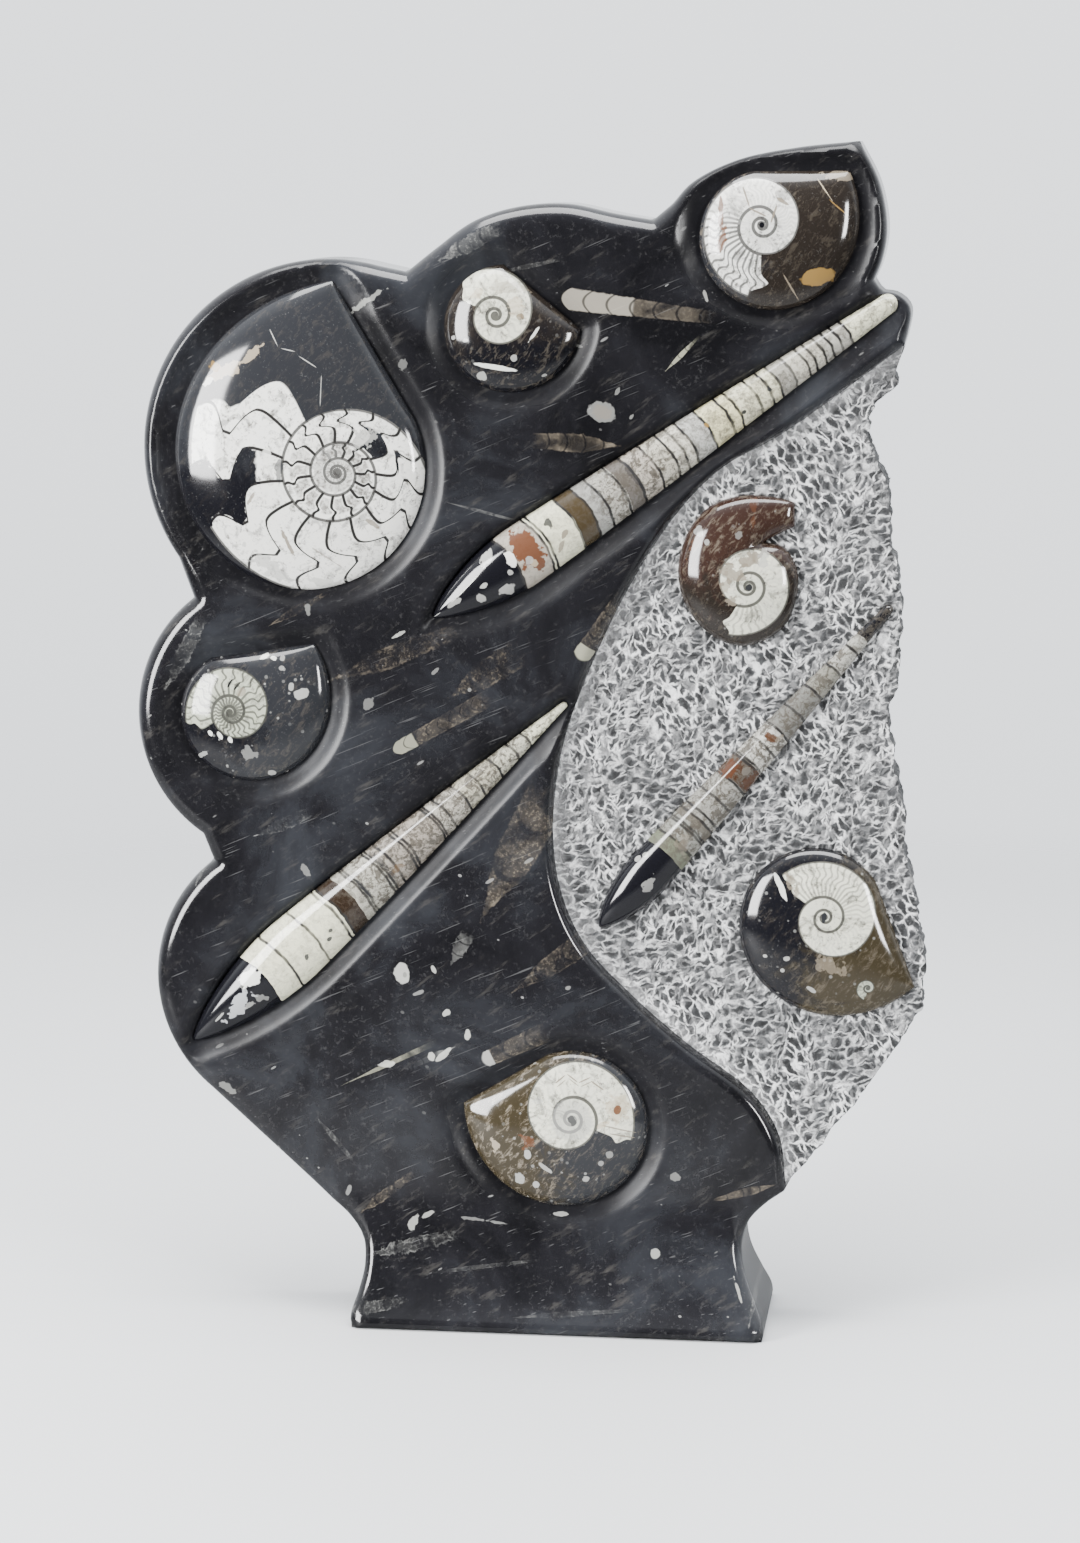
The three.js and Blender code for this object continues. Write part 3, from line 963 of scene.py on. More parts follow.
def coil_group():
    """The lines of a coiled shell cut through its middle, from a place measured from its centre.

    Turns counts whorls back from the mouth, bent to follow the lobed walls. Across goes from 0 at the
    inner edge of a whorl to 1 at its outer edge.
    """
    tree, n, given, out = new_group(
        "goniatite coil",
        {"Vector": None, "Hand": 1.0, "End Angle": 0.0, "End Radius": 0.04, "Growth": 2.7, "Lean": None,
         "Cut": 0.0, "Lip": 0.0, "Inner": 0.0, "Chambers": 16.0, "Wave": 0.0, "Line": 0.0004},
        ("Shell", "Spiral Line", "Septa", "Core", "Across", "Turns", "Chamber"))
    x, _, z = n.split(given["Vector"])
    flat = n.join(x, 0.0, z)
    turn = n.math("DIVIDE", n.math("ARCTAN2", z, x), 2 * math.pi)
    behind = n.math("FRACT", n.times(n.minus(turn, given["End Angle"]), given["Hand"]))
    radius = n.vector("LENGTH", flat, out="Value")
    leaned = n.minus(radius, n.vector("DOT_PRODUCT", flat, given["Lean"], out="Value"))
    size = n.math("LOGARITHM", n.math("DIVIDE", leaned, given["End Radius"]), given["Growth"])
    inwards = n.least(n.plus(size, 1.0), 0.0)
    size = n.plus(size, n.times(inwards, given["Inner"]))
    level = n.minus(size, behind)
    whorl = n.math("FLOOR", level)
    across = n.minus(level, whorl)
    bend = n.ramp(across, LOBES, "B_SPLINE")
    turns = n.plus(n.plus(behind, whorl), 1.0)
    calm = n.step(turns, -1.25, -0.95, 0.35, 1.0)
    bent = n.plus(turns, n.times(bend, n.times(given["Wave"], calm)))
    lip = n.times(n.step(across, 0.6, 1.0), given["Lip"])
    mouth = n.plus(n.plus(bent, given["Cut"]), lip)
    n.plug(n.step(mouth, -0.002, 0.002, 1, 0), out["Shell"])
    width = n.times(given["Line"], 1.8)
    inner = n.least(across, n.minus(1.0, across))
    gap = n.times(n.times(inner, radius), n.math("LOGARITHM", given["Growth"], math.e))
    broad = n.times(given["Line"], 1.5)
    n.plug(n.step(gap, broad, n.times(broad, 1.7), 1, 0), out["Spiral Line"])
    count = n.times(bent, given["Chambers"])
    share = n.math("FRACT", count)
    to_septum = n.least(share, n.minus(1.0, share))
    pitch = n.math("DIVIDE", n.times(radius, 2 * math.pi), given["Chambers"])
    n.plug(n.step(n.times(to_septum, pitch), given["Line"], width, 1, 0), out["Septa"])
    n.plug(n.times(n.step(inner, 0.16, 0.24), n.step(to_septum, 0.16, 0.24)), out["Core"])
    n.plug(across, out["Across"])
    n.plug(bent, out["Turns"])
    white = n.add("TexWhiteNoise", noise_dimensions="1D")
    n.plug(n.math("FLOOR", count), white.inputs["W"])
    n.plug(white.outputs["Value"], out["Chamber"])
    return tree


def patch_group():
    """A ragged oval mark: 1 inside the unit circle of the given coordinates."""
    tree, n, given, out = new_group(
        "ragged mark", {"Vector": None, "Place": None, "Ragged": 0.4}, ("Mask",))
    x, _, z = n.split(given["Vector"])
    radius = n.vector("LENGTH", n.join(x, 0.0, z), out="Value")
    rough = n.noise(given["Place"], 0.005, 3)
    wander = n.times(n.minus(rough, 0.5), given["Ragged"])
    n.plug(n.step(n.plus(radius, n.times(wander, 2.0)), 0.92, 1.08, 1, 0), out["Mask"])
    return tree


def flush_group():
    """A shell cut flush in the slab: a speckled tapered band with a solid chambered head at its -1 end."""
    tree, n, given, out = new_group(
        "flush shell",
        {"Vector": None, "Place": None, "Taper": 0.4, "Chambers": 8.0, "Ragged": 0.3, "Head": 0.0,
         "Speckle": 0.7},
        ("Mask", "Head"))
    x, _, z = n.split(given["Vector"])
    rough = n.noise(given["Place"], 0.004, 4, 0.65)
    wander = n.times(n.minus(rough, 0.5), given["Ragged"])
    share = n.scaled(x, 0.5, 0.5)
    width = n.plus(1.0, n.times(share, n.minus(given["Taper"], 1.0)))
    blunt = n.step(given["Head"], 0.0, 0.01)
    width = n.times(width, n.most(n.step(share, 0.0, 0.5, 0.1, 1.0), blunt))
    across = n.minus(n.math("ABSOLUTE", z), n.plus(width, wander))
    inside = n.step(across, -0.12, 0.02, 1, 0)
    partly = n.step(n.noise(given["Place"], 0.009, 2), 0.45, 0.6, 0.0, 0.8)
    outline = n.times(n.times(inside, n.step(across, -0.3, -0.15)), partly)
    start = n.minus(x, n.times(n.times(z, z), 0.12))
    ends = n.times(n.step(n.plus(x, wander), 0.5, 1.0, 1, 0), n.step(start, -1.0, -0.98))
    band = n.math("FRACT", n.times(n.plus(start, 1.0), n.times(given["Chambers"], 0.5)))
    wall = n.step(n.least(band, n.minus(1.0, band)), 0.03, 0.08)
    dots = n.step(n.noise(given["Place"], 0.0019, 4, 0.75), 0.5, 0.68)
    body = n.most(n.scaled(dots, 0.9, 0.08), outline)
    fill = n.plus(n.times(body, given["Speckle"]), n.minus(1.0, given["Speckle"]))
    head = n.step(share, n.minus(given["Head"], 0.01), n.plus(given["Head"], 0.01), 1, 0)
    fill = n.most(fill, head)
    worn = n.step(n.noise(given["Place"], 0.011, 3), 0.36, 0.6, 0.15, 1.0)
    shape = n.times(n.times(inside, ends), n.most(worn, head))
    n.plug(n.times(n.times(shape, fill), n.scaled(wall, 0.75, 0.25)), out["Mask"])
    n.plug(head, out["Head"])
    return tree


def bruise_group():
    """Thin pale ridges of crushed stone between the small hollows that a chisel leaves in crooked rows, and
    the hollows themselves as a mask for painted shade.
    """
    tree, n, given, out = new_group(
        "chisel bruises", {"Vector": None, "Cell": 0.0046}, ("Bruise", "Pit Shade"))
    shift = n.noise(given["Vector"], 0.007, 3, out="Color")
    sway = n.vector("MULTIPLY", n.vector("SUBTRACT", shift, (0.5, 0.5, 0.5)), (0.008, 0, 0.008))
    place = n.vector("ADD", given["Vector"], sway)
    region = n.least(n.most(n.noise(given["Vector"], 0.03, 1), 0.4), 0.6)
    x, _, z = n.split(place)
    found, pit_shade = None, None
    for k, angle in enumerate((12, 65, 128)):
        turned = n.stretched(n.join(x, 0.013 * k, z), -math.radians(angle), 2.1)
        border = n.cells(turned, n.math("DIVIDE", 1.0, given["Cell"]), "DISTANCE_TO_EDGE")["Distance"]
        here = n.step(n.math("ABSOLUTE", n.minus(region, 0.4 + 0.1 * k)), 0.035, 0.09, 1.0, 0.0)
        ridge = n.times(n.step(border, 0.02, 0.16, 1, 0), here)
        # Painted shade: the middle of each cell, a hollow between the pale ridges, becomes a mask for
        # darkening
        hollow = n.times(n.step(border, 0.16, 0.36), here)
        found = ridge if found is None else n.most(found, ridge)
        pit_shade = hollow if pit_shade is None else n.most(pit_shade, hollow)
    worn = n.step(n.noise(place, 0.0065, 2, 0.6), 0.36, 0.58, 0.2, 1.0)
    n.plug(n.times(found, worn), out["Bruise"])
    n.plug(pit_shade, out["Pit Shade"])
    return tree


def fleck_group():
    """Small pale shell splinters, mostly lying one way."""
    tree, n, given, out = new_group(
        "shell flecks", {"Vector": None, "Amount": 1.0}, ("Flecks",))
    found = None
    splinters = ((0.009, -0.55, 3.0, 0.16), (0.013, -0.3, 5.0, 0.1), (0.007, 0.4, 1.4, 0.16))
    for size, angle, stretch, reach in splinters:
        cell = n.cells(n.stretched(given["Vector"], angle, stretch), 1 / size)
        red, green, _ = n.split(cell["Color"])
        chance = n.step(red, 0.72, 1.0, 0.0, 1.3 * reach)
        limit = n.times(chance, given["Amount"])
        spot = n.step(n.minus(cell["Distance"], limit), -0.03, 0.0, 1, 0)
        fleck = n.times(spot, n.scaled(green, 0.8, 0.2))
        found = fleck if found is None else n.most(found, fleck)
    n.plug(found, out["Flecks"])
    return tree


def polish_group():
    """The slightly uneven gloss and the faint ripple of hand-polished stone."""
    tree, n, given, out = new_group(
        "hand polish", {"Vector": None, "Roughness": 0.1, "Variation": 0.06}, ("Roughness", "Height"))
    smear = n.noise(given["Vector"], 0.03, 4, 0.6, 0.6)
    n.plug(n.scaled(smear, given["Variation"], given["Roughness"]), out["Roughness"])
    n.plug(n.noise(given["Vector"], 0.012, 1), out["Height"])
    return tree


CREAM = (0.64, 0.63, 0.47)
CHALK = (0.78, 0.78, 0.72)
ASH = (0.36, 0.36, 0.34)
BLACK = (0.006, 0.006, 0.008)
CHARCOAL = (0.02, 0.021, 0.024)
BROWN = (0.017, 0.0135, 0.011)
RED_BROWN = (0.03, 0.016, 0.012)
OLIVE = (0.034, 0.027, 0.015)
RUST = (0.12, 0.042, 0.016)
OCHRE = (0.26, 0.16, 0.05)
UMBER = (0.1, 0.06, 0.028)
VEIN = (0.36, 0.3, 0.22)
TAN = (0.45, 0.38, 0.27)
STAIN = (0.2, 0.17, 0.13)
GRIME = (0.075, 0.066, 0.054)
LINE = (0.022, 0.021, 0.02)

# What a coil's shell is multiplied by
WARM = (1.08, 1.09, 1.2)
WHITE = (1.3, 1.31, 1.65)
GREENISH = (0.62, 0.66, 0.69)

# Each coiled shell: its centre on the face, which way it grows, and its mouth; a logarithmic spiral leaned
# towards one side; its chamber walls; then the colours of shell and stone. Side is the direction, in degrees,
# in which the stone takes its second colour. Voids are holes filled with stone, as (turns from, turns to,
# across from, across to). Fade is where, in turns back from the mouth, the chamber walls become faint.
COIL = dict(hand=1, growth=2.6, lean=(0, 0), cut=0, inner=0, fade=None, cores=0, tone=WARM, voids=())
COILS = {
    "goniatite_large": dict(
        COIL, centre=(-121, 560), hand=-1, end=92, radius=126, growth=3.0, lean=(0, -0.065), cut=0.078,
        lip=0.06, inner=0.48, chambers=15, wave=0.058, line=0.48, septa=1.0, cores=0.8, tone=WHITE,
        stone=BLACK, tint=CHARCOAL, side=90, veins=0.08, bubbles=0.05,
        voids=((-0.267, -0.2, 0.44, 1.2), (-0.872, -0.8, 0.1, 0.72), (-0.745, -0.722, 0.6, 0.78))),
    "goniatite_top_middle": dict(
        COIL, centre=(-19.7, 659.6), end=150, radius=34, cut=-0.02, lip=0.05, chambers=20, wave=0.02,
        line=0.36, septa=0.2, stone=BROWN, tint=BLACK, side=-90, veins=0.25, bubbles=0.2),
    "goniatite_top_right": dict(
        COIL, centre=(147.6, 716.3), end=262, radius=46, cut=-0.02, lip=0.05, chambers=42, wave=-0.03,
        line=0.36, septa=0.8, fade=(0.24, 0.34), tone=WHITE, stone=BROWN, tint=CHARCOAL, side=180, veins=0.5,
        bubbles=0.05),
    NOTCHED: dict(
        COIL, centre=(141.3, 489.2), hand=-1, end=245, radius=37, lean=(-0.08, 0.12), cut=-0.02, lip=0.04,
        chambers=34, wave=-0.02, line=0.34, septa=0.4, fade=(0.12, 0.2), stone=BROWN, tint=RED_BROWN,
        side=100, veins=0.45, bubbles=0.3),
    "goniatite_left": dict(
        COIL, centre=(-193.1, 403.7), end=213, radius=38, lean=(0.12, 0.05), lip=0.03, chambers=24, wave=0.03,
        line=0.34, septa=0.75, fade=(3, 4), cores=0.25, tone=GREENISH, stone=BLACK, tint=CHARCOAL, side=0,
        veins=0.15, bubbles=0.8),
    "goniatite_lower_right": dict(
        COIL, centre=(191.4, 277.7), end=145, radius=44, growth=2.7, lean=(0.1, -0.08), lip=0.01, chambers=44,
        wave=0.02, line=0.32, septa=0.5, fade=(0.25, 0.5), stone=BLACK, tint=OLIVE, side=-20, veins=0.3,
        bubbles=0.5),
    "goniatite_bottom": dict(
        COIL, centre=(29.5, 140.4), hand=-1, end=-22, radius=45, growth=2.5, lean=(-0.05, 0.1), lip=0.02,
        chambers=30, wave=-0.02, line=0.36, septa=0.15, stone=CHARCOAL, tint=OLIVE, side=170, veins=0.9,
        bubbles=0.7),
}

# Ragged oval marks on the goniatites, from the coil's centre: x, z, half length, half width, angle, colour,
# strength, raggedness
MARKS = {
    "goniatite_large": (
        (-73, 63, 11, 4, 22, VEIN, 0.9, 1.6), (-56, 73, 10, 2.5, 45, VEIN, 0.8, 1.6),
        (-80, 66, 4, 3, 0, OCHRE, 0.8, 1.0), (-84, 56, 4, 2, 40, CHALK, 0.8, 1.0),
        (-41, 85, 6, 0.35, -62, ASH, 0.9, 0.6), (-31, 77, 5, 0.35, -12, ASH, 0.9, 0.6),
        (-19, 70, 8, 0.35, -32, ASH, 0.9, 0.6), (-10, 52, 11, 0.3, 88, ASH, 0.8, 0.6),
        (-33, -45, 9, 1.5, -65, STAIN, 0.9, 1.2), (-8, -55, 10, 0.6, -35, STAIN, 0.6, 1.0),
        (-56, -18, 5, 1.5, 60, STAIN, 0.8, 1.0), (22, -33, 5, 1.5, -35, STAIN, 0.8, 1.0),
        (-45, -62, 16, 5, -38, ASH, 0.6, 1.8), (-10, -72, 12, 3, -5, ASH, 0.5, 1.8),
        (17, 22, 8, 5, 30, ASH, 0.7, 1.6), (-45, 8, 3, 8, 0, CHALK, 0.6, 0.8),
        (-37, 3, 2, 7, 0, CHARCOAL, 0.7, 1.6),
    ),
    "goniatite_top_middle": (
        (5.5, 17, 11, 4, -10, STAIN, 0.45, 1.5), (12.5, 4.5, 4, 7, 0, TAN, 0.5, 1.5),
        (15, -1, 2.6, 2, 0, UMBER, 0.7, 1.0), (-12, 13, 4, 3, 40, TAN, 0.5, 1.4),
        (-1.6, -32.5, 14, 1.7, -8, CHALK, 0.95, 0.4), (25, -11, 6, 0.9, 55, CHALK, 0.8, 0.9),
        (-9.4, -38.8, 3, 3, 0, ASH, 0.8, 0.8), (11.8, -27, 2.2, 2.2, 0, ASH, 0.8, 0.6),
        (-27.5, -14.4, 2, 1.6, 60, ASH, 0.9, 1.0), (-19.6, -16, 1.6, 1, 0, ASH, 0.9, 1.0),
        (30, -38, 2, 1, 20, ASH, 0.8, 1.0),
    ),
    "goniatite_top_right": (
        (-21, 10, 9, 10, 0, ASH, 0.3, 1.2), (-26, 9, 13, 1.5, 92, RUST, 0.75, 1.0),
        (-24.5, -8, 8, 2.2, 80, RUST, 0.75, 1.2), (-10, 17, 7, 0.6, -70, STAIN, 0.9, 0.4),
        (-3, 8, 6, 0.6, -25, STAIN, 0.9, 0.4), (12.5, 14.7, 5, 1.2, -30, STAIN, 0.9, 0.8),
        (7.5, 7, 6, 0.7, 72, STAIN, 0.9, 0.4), (0, 0, 1.7, 1.7, 0, BLACK, 1.0, 0.4),
        (35, -32, 10, 5.5, 10, OCHRE, 0.95, 0.4), (38.4, 22, 8, 0.4, -55, TAN, 0.9, 0.8),
        (47, 11, 7, 0.4, -40, OCHRE, 0.9, 0.8), (50, 30, 13, 3, -5, VEIN, 0.45, 1.4),
        (18, -38, 8, 0.5, -60, VEIN, 0.5, 1.0),
    ),
    NOTCHED: (
        (-11.6, 9, 6, 6, 0, STAIN, 0.8, 2.2), (0, 18, 9, 3.5, 10, STAIN, 0.85, 2.2),
        (-11, -9, 4, 3, 0, STAIN, 0.8, 2.0), (-14, 0, 2.5, 7, 0, STAIN, 0.6, 2.2),
        (9, 17, 3, 5, 0, ASH, 0.6, 1.6), (0, 0, 2, 2, 0, CHARCOAL, 0.9, 0.8),
        (-35, 27, 7, 2, 60, RUST, 0.35, 1.8), (2, 50, 2, 8, 0, RUST, 0.3, 1.8),
        (-33, 35, 3, 3, 0, ASH, 0.6, 1.2), (-27, 28, 2, 1.4, -60, ASH, 0.7, 1.2),
        (-7, 33, 2.4, 2.4, 0, ASH, 0.35, 0.9),
    ),
    "goniatite_left": (
        (0, 19, 3, 0.7, 60, BLACK, 0.9, 0.6), (5, 17.5, 3.2, 0.7, 50, BLACK, 0.9, 0.8),
        (8, 14, 4, 2, 40, STAIN, 0.6, 1.6), (-7, -15, 2.5, 1.3, -60, CHALK, 0.9, 0.8),
        (0, -18, 2.2, 1.5, -70, CHALK, 0.9, 0.8), (-13.4, -14, 2, 1.4, -50, CHALK, 0.9, 0.8),
        (-20, -29, 4, 1.6, 20, ASH, 0.7, 1.6), (46.5, 12.6, 4.8, 3.6, 15, ASH, 0.95, 0.5),
        (33.5, 35, 1.8, 1.8, 0, ASH, 0.7, 0.5), (33.5, 29, 1.8, 1.6, 0, ASH, 0.6, 0.5),
        (40, 17.5, 1.8, 2.6, 0, ASH, 0.8, 0.6), (22, 36, 3, 1.4, 20, CHALK, 0.9, 1.0),
        (28, 35, 2.6, 1.6, -20, CHALK, 0.9, 1.0), (12, -27, 5, 4, 0, ASH, 0.4, 1.8),
        (26, -40, 2.4, 1.8, 0, ASH, 0.8, 0.8),
    ),
    "goniatite_lower_right": (
        (-20, 22, 3.5, 6, 20, STAIN, 0.7, 2.0), (0, 0, 1.8, 3.4, -10, CHARCOAL, 0.95, 0.8),
        (-28, 18, 2, 9, 25, CHALK, 0.8, 0.5), (-8, -48, 3, 1.4, -30, ASH, 0.8, 0.8),
        (4, -32, 9, 5, -20, VEIN, 0.3, 2.0), (-38, -27, 1.6, 1.2, 0, ASH, 0.9, 1.0),
        (-24, -28, 1.8, 1.5, 0, ASH, 0.8, 1.0), (-27, -36, 1.6, 1.4, 0, ASH, 0.8, 1.0),
    ),
    "goniatite_bottom": (
        (-8, 26, 4.2, 0.5, 40, STAIN, 0.95, 0.3), (0, 27, 4.4, 0.5, -35, STAIN, 0.95, 0.3),
        (8, 26, 4.2, 0.5, 25, STAIN, 0.95, 0.3), (16, 22.7, 5, 0.5, -35, STAIN, 0.95, 0.3),
        (-7, 23.6, 4, 0.4, 40, STAIN, 0.8, 0.3), (1, 24.4, 4.4, 0.4, -35, STAIN, 0.8, 0.3),
        (9, 23.4, 4, 0.4, 25, STAIN, 0.8, 0.3), (29, 7, 7, 8, 0, TAN, 0.6, 1.4),
        (29.6, 7, 2.6, 3, 0, RUST, 0.9, 0.6), (30.6, -6, 11, 0.5, -15, STAIN, 0.8, 0.5),
        (32.6, -10.5, 9, 0.5, -12, STAIN, 0.8, 0.5), (20, -3, 5, 1.4, 30, TAN, 0.6, 1.4),
        (-22, 12, 3, 2, 0, ASH, 0.4, 1.4), (-29, -15, 5, 4, -40, RUST, 0.6, 1.6),
        (0, 0, 13.5, 13.5, 0, ASH, 0.45, 0.2), (0, 0, 3, 3, 0, CHARCOAL, 0.7, 1.4),
        (-51, -19, 3, 4, 0, VEIN, 0.8, 1.4), (-29, -24, 2.4, 3, 0, ASH, 0.9, 0.5),
        (-17, -33, 5, 1.6, -35, ASH, 0.8, 0.6), (-35, -41, 3, 4, 20, ASH, 0.8, 0.8),
        (-24, -45, 2.2, 2.6, 0, ASH, 0.9, 0.6), (9, -40, 2.2, 2, 0, ASH, 0.8, 0.8),
        (24.7, -23, 2.6, 2.4, 0, ASH, 0.5, 0.5), (19, -29, 1.8, 1.8, 0, ASH, 0.6, 0.6),
    ),
}


def darker(colour, share):
    return tuple(share * v for v in colour)


def marks(nodes, groups, vector, place, colour, patches):
    """Lays ragged oval marks over a colour."""
    for x, z, a, b, angle, tint, strength, ragged in patches:
        unit = nodes.oval(vector, x, z, a, b, angle)
        mask = nodes.group(groups["patch"], Vector=unit, Place=place, Ragged=ragged)["Mask"]
        colour = nodes.mix(nodes.times(mask, strength), colour, tint)
    return colour


def finish_polish(nodes, groups, shader, place, roughness, variation):
    """The gloss and faint ripple of polished stone."""
    polish = nodes.group(groups["polish"], Vector=place, Roughness=roughness, Variation=variation)
    nodes.plug(polish["Roughness"], shader.inputs["Roughness"])
    bump(nodes, shader, polish["Height"], 0.12, 0.0004)


def coil_colour(n, groups, settings, c, vector, place, stone):
    """The shell of one coil laid over the stone round it."""
    coil = n.group(groups["coil"], Vector=vector, Hand=c["hand"], End_Angle=c["end"] / 360,
                   End_Radius=c["radius"] * MM, Growth=c["growth"], Lean=(c["lean"][0], 0, c["lean"][1]),
                   Cut=c["cut"], Lip=c["lip"], Inner=c["inner"], Chambers=c["chambers"], Wave=c["wave"],
                   Line=1.5 * c["line"] * MM)
    cloud = n.noise(place, 0.011, 6, 0.68, 1.2)
    grain = n.noise(place, 0.0026, 4, 0.72)
    clean = tuple(tint * v for tint, v in zip(c["tone"], settings.shell))
    shell = n.mix(n.step(cloud, 0.5, 0.64, 0.0, 0.75), clean, darker(clean, 0.3))
    soiled = n.times(n.step(grain, 0.53, 0.62), n.step(cloud, 0.42, 0.58, 0.12, 0.75))
    shell = n.mix(soiled, shell, GRIME)
    shell = n.mix(n.times(coil["Chamber"], 0.2), shell, ASH)
    older = n.step(coil["Turns"], -1.25, -1.05, 1, 0)
    core = n.times(n.times(coil["Core"], older), c["cores"])
    mottled = n.times(core, n.step(grain, 0.35, 0.6, 0.35, 1.0))
    shell = n.mix(n.times(mottled, 0.8), shell, GRIME)
    septa = n.times(coil["Septa"], n.step(coil["Turns"], -2.3, -1.9, 0.3 * c["septa"], c["septa"]))
    if c["fade"]:
        near, far = c["fade"]
        septa = n.times(septa, n.step(coil["Turns"], -far, -near, 0.25, 1.0))
    lines = n.most(septa, n.times(coil["Spiral Line"], 0.9))
    shell = n.mix(lines, shell, tuple(settings.line))
    ragged = n.times(n.minus(n.noise(place, 0.006, 3), 0.5), 0.03)
    turns = n.plus(coil["Turns"], ragged)
    across = n.plus(coil["Across"], n.times(ragged, 4.0))
    mask = coil["Shell"]
    for first, last, low, high in c["voids"]:
        hole = n.times(n.within(turns, first, last, 0.002), n.within(across, low, high, 0.02))
        mask = n.times(mask, n.minus(1.0, hole))
    return n.mix(mask, stone, shell)


def goniatite_material(name, groups, settings):
    c = COILS[name]
    material, n, shader, place = new_material(name + "_stone", IOR=1.6)
    vector = n.mapping(place, (-c["centre"][0] * MM, 0, -c["centre"][1] * MM))
    cloud = n.noise(place, 0.02, 6, 0.66, 0.8)
    side = math.radians(c["side"])
    way = (math.cos(side) / (40 * MM), 0, math.sin(side) / (40 * MM))
    towards = n.vector("DOT_PRODUCT", vector, way, out="Value")
    share = n.plus(n.times(towards, 0.35), cloud)
    stone = n.mix(n.step(share, 0.4, 0.75), c["stone"], c["tint"])
    streak = n.noise(n.stretched(place, -0.9, 2.5), 0.0035, 5, 0.72, 0.6)
    vein = n.times(n.step(share, 0.35, 0.7, 0.3, 1.0), c["veins"])
    stone = n.mix(n.times(n.step(streak, 0.5, 0.66), vein), stone, STAIN)
    dust = n.step(n.noise(place, 0.0016, 4, 0.72), 0.6, 0.74)
    stone = n.mix(n.times(dust, 0.2), stone, ASH)
    bubble = n.cells(place, 260)
    size, tone, _ = n.split(bubble["Color"])
    blob = n.minus(bubble["Distance"], n.step(size, 0.45, 1.0, 0.0, 0.34))
    scattered = n.times(n.step(n.noise(place, 0.022, 2), 0.44, 0.56), n.scaled(tone, 0.7, 0.2))
    white = n.times(n.times(n.step(blob, -0.1, 0.02, 1, 0), scattered), c["bubbles"])
    stone = n.mix(white, stone, ASH)
    colour = coil_colour(n, groups, settings, c, vector, place, stone)
    colour = marks(n, groups, vector, place, colour, MARKS.get(name, ()))
    if name == "goniatite_lower_right":
        small = dict(c, radius=9, end=-100, growth=3.0, lean=(0, 0), chambers=12, septa=0.4, line=0.2,
                     tone=GREENISH)
        young = n.mapping(vector, (-28.2 * MM, 0, 46.5 * MM))
        colour = coil_colour(n, groups, settings, small, young, place, colour)
    n.plug(colour, shader.inputs["Base Color"])
    finish_polish(n, groups, shader, place, settings.roughness, 0.05)
    return material


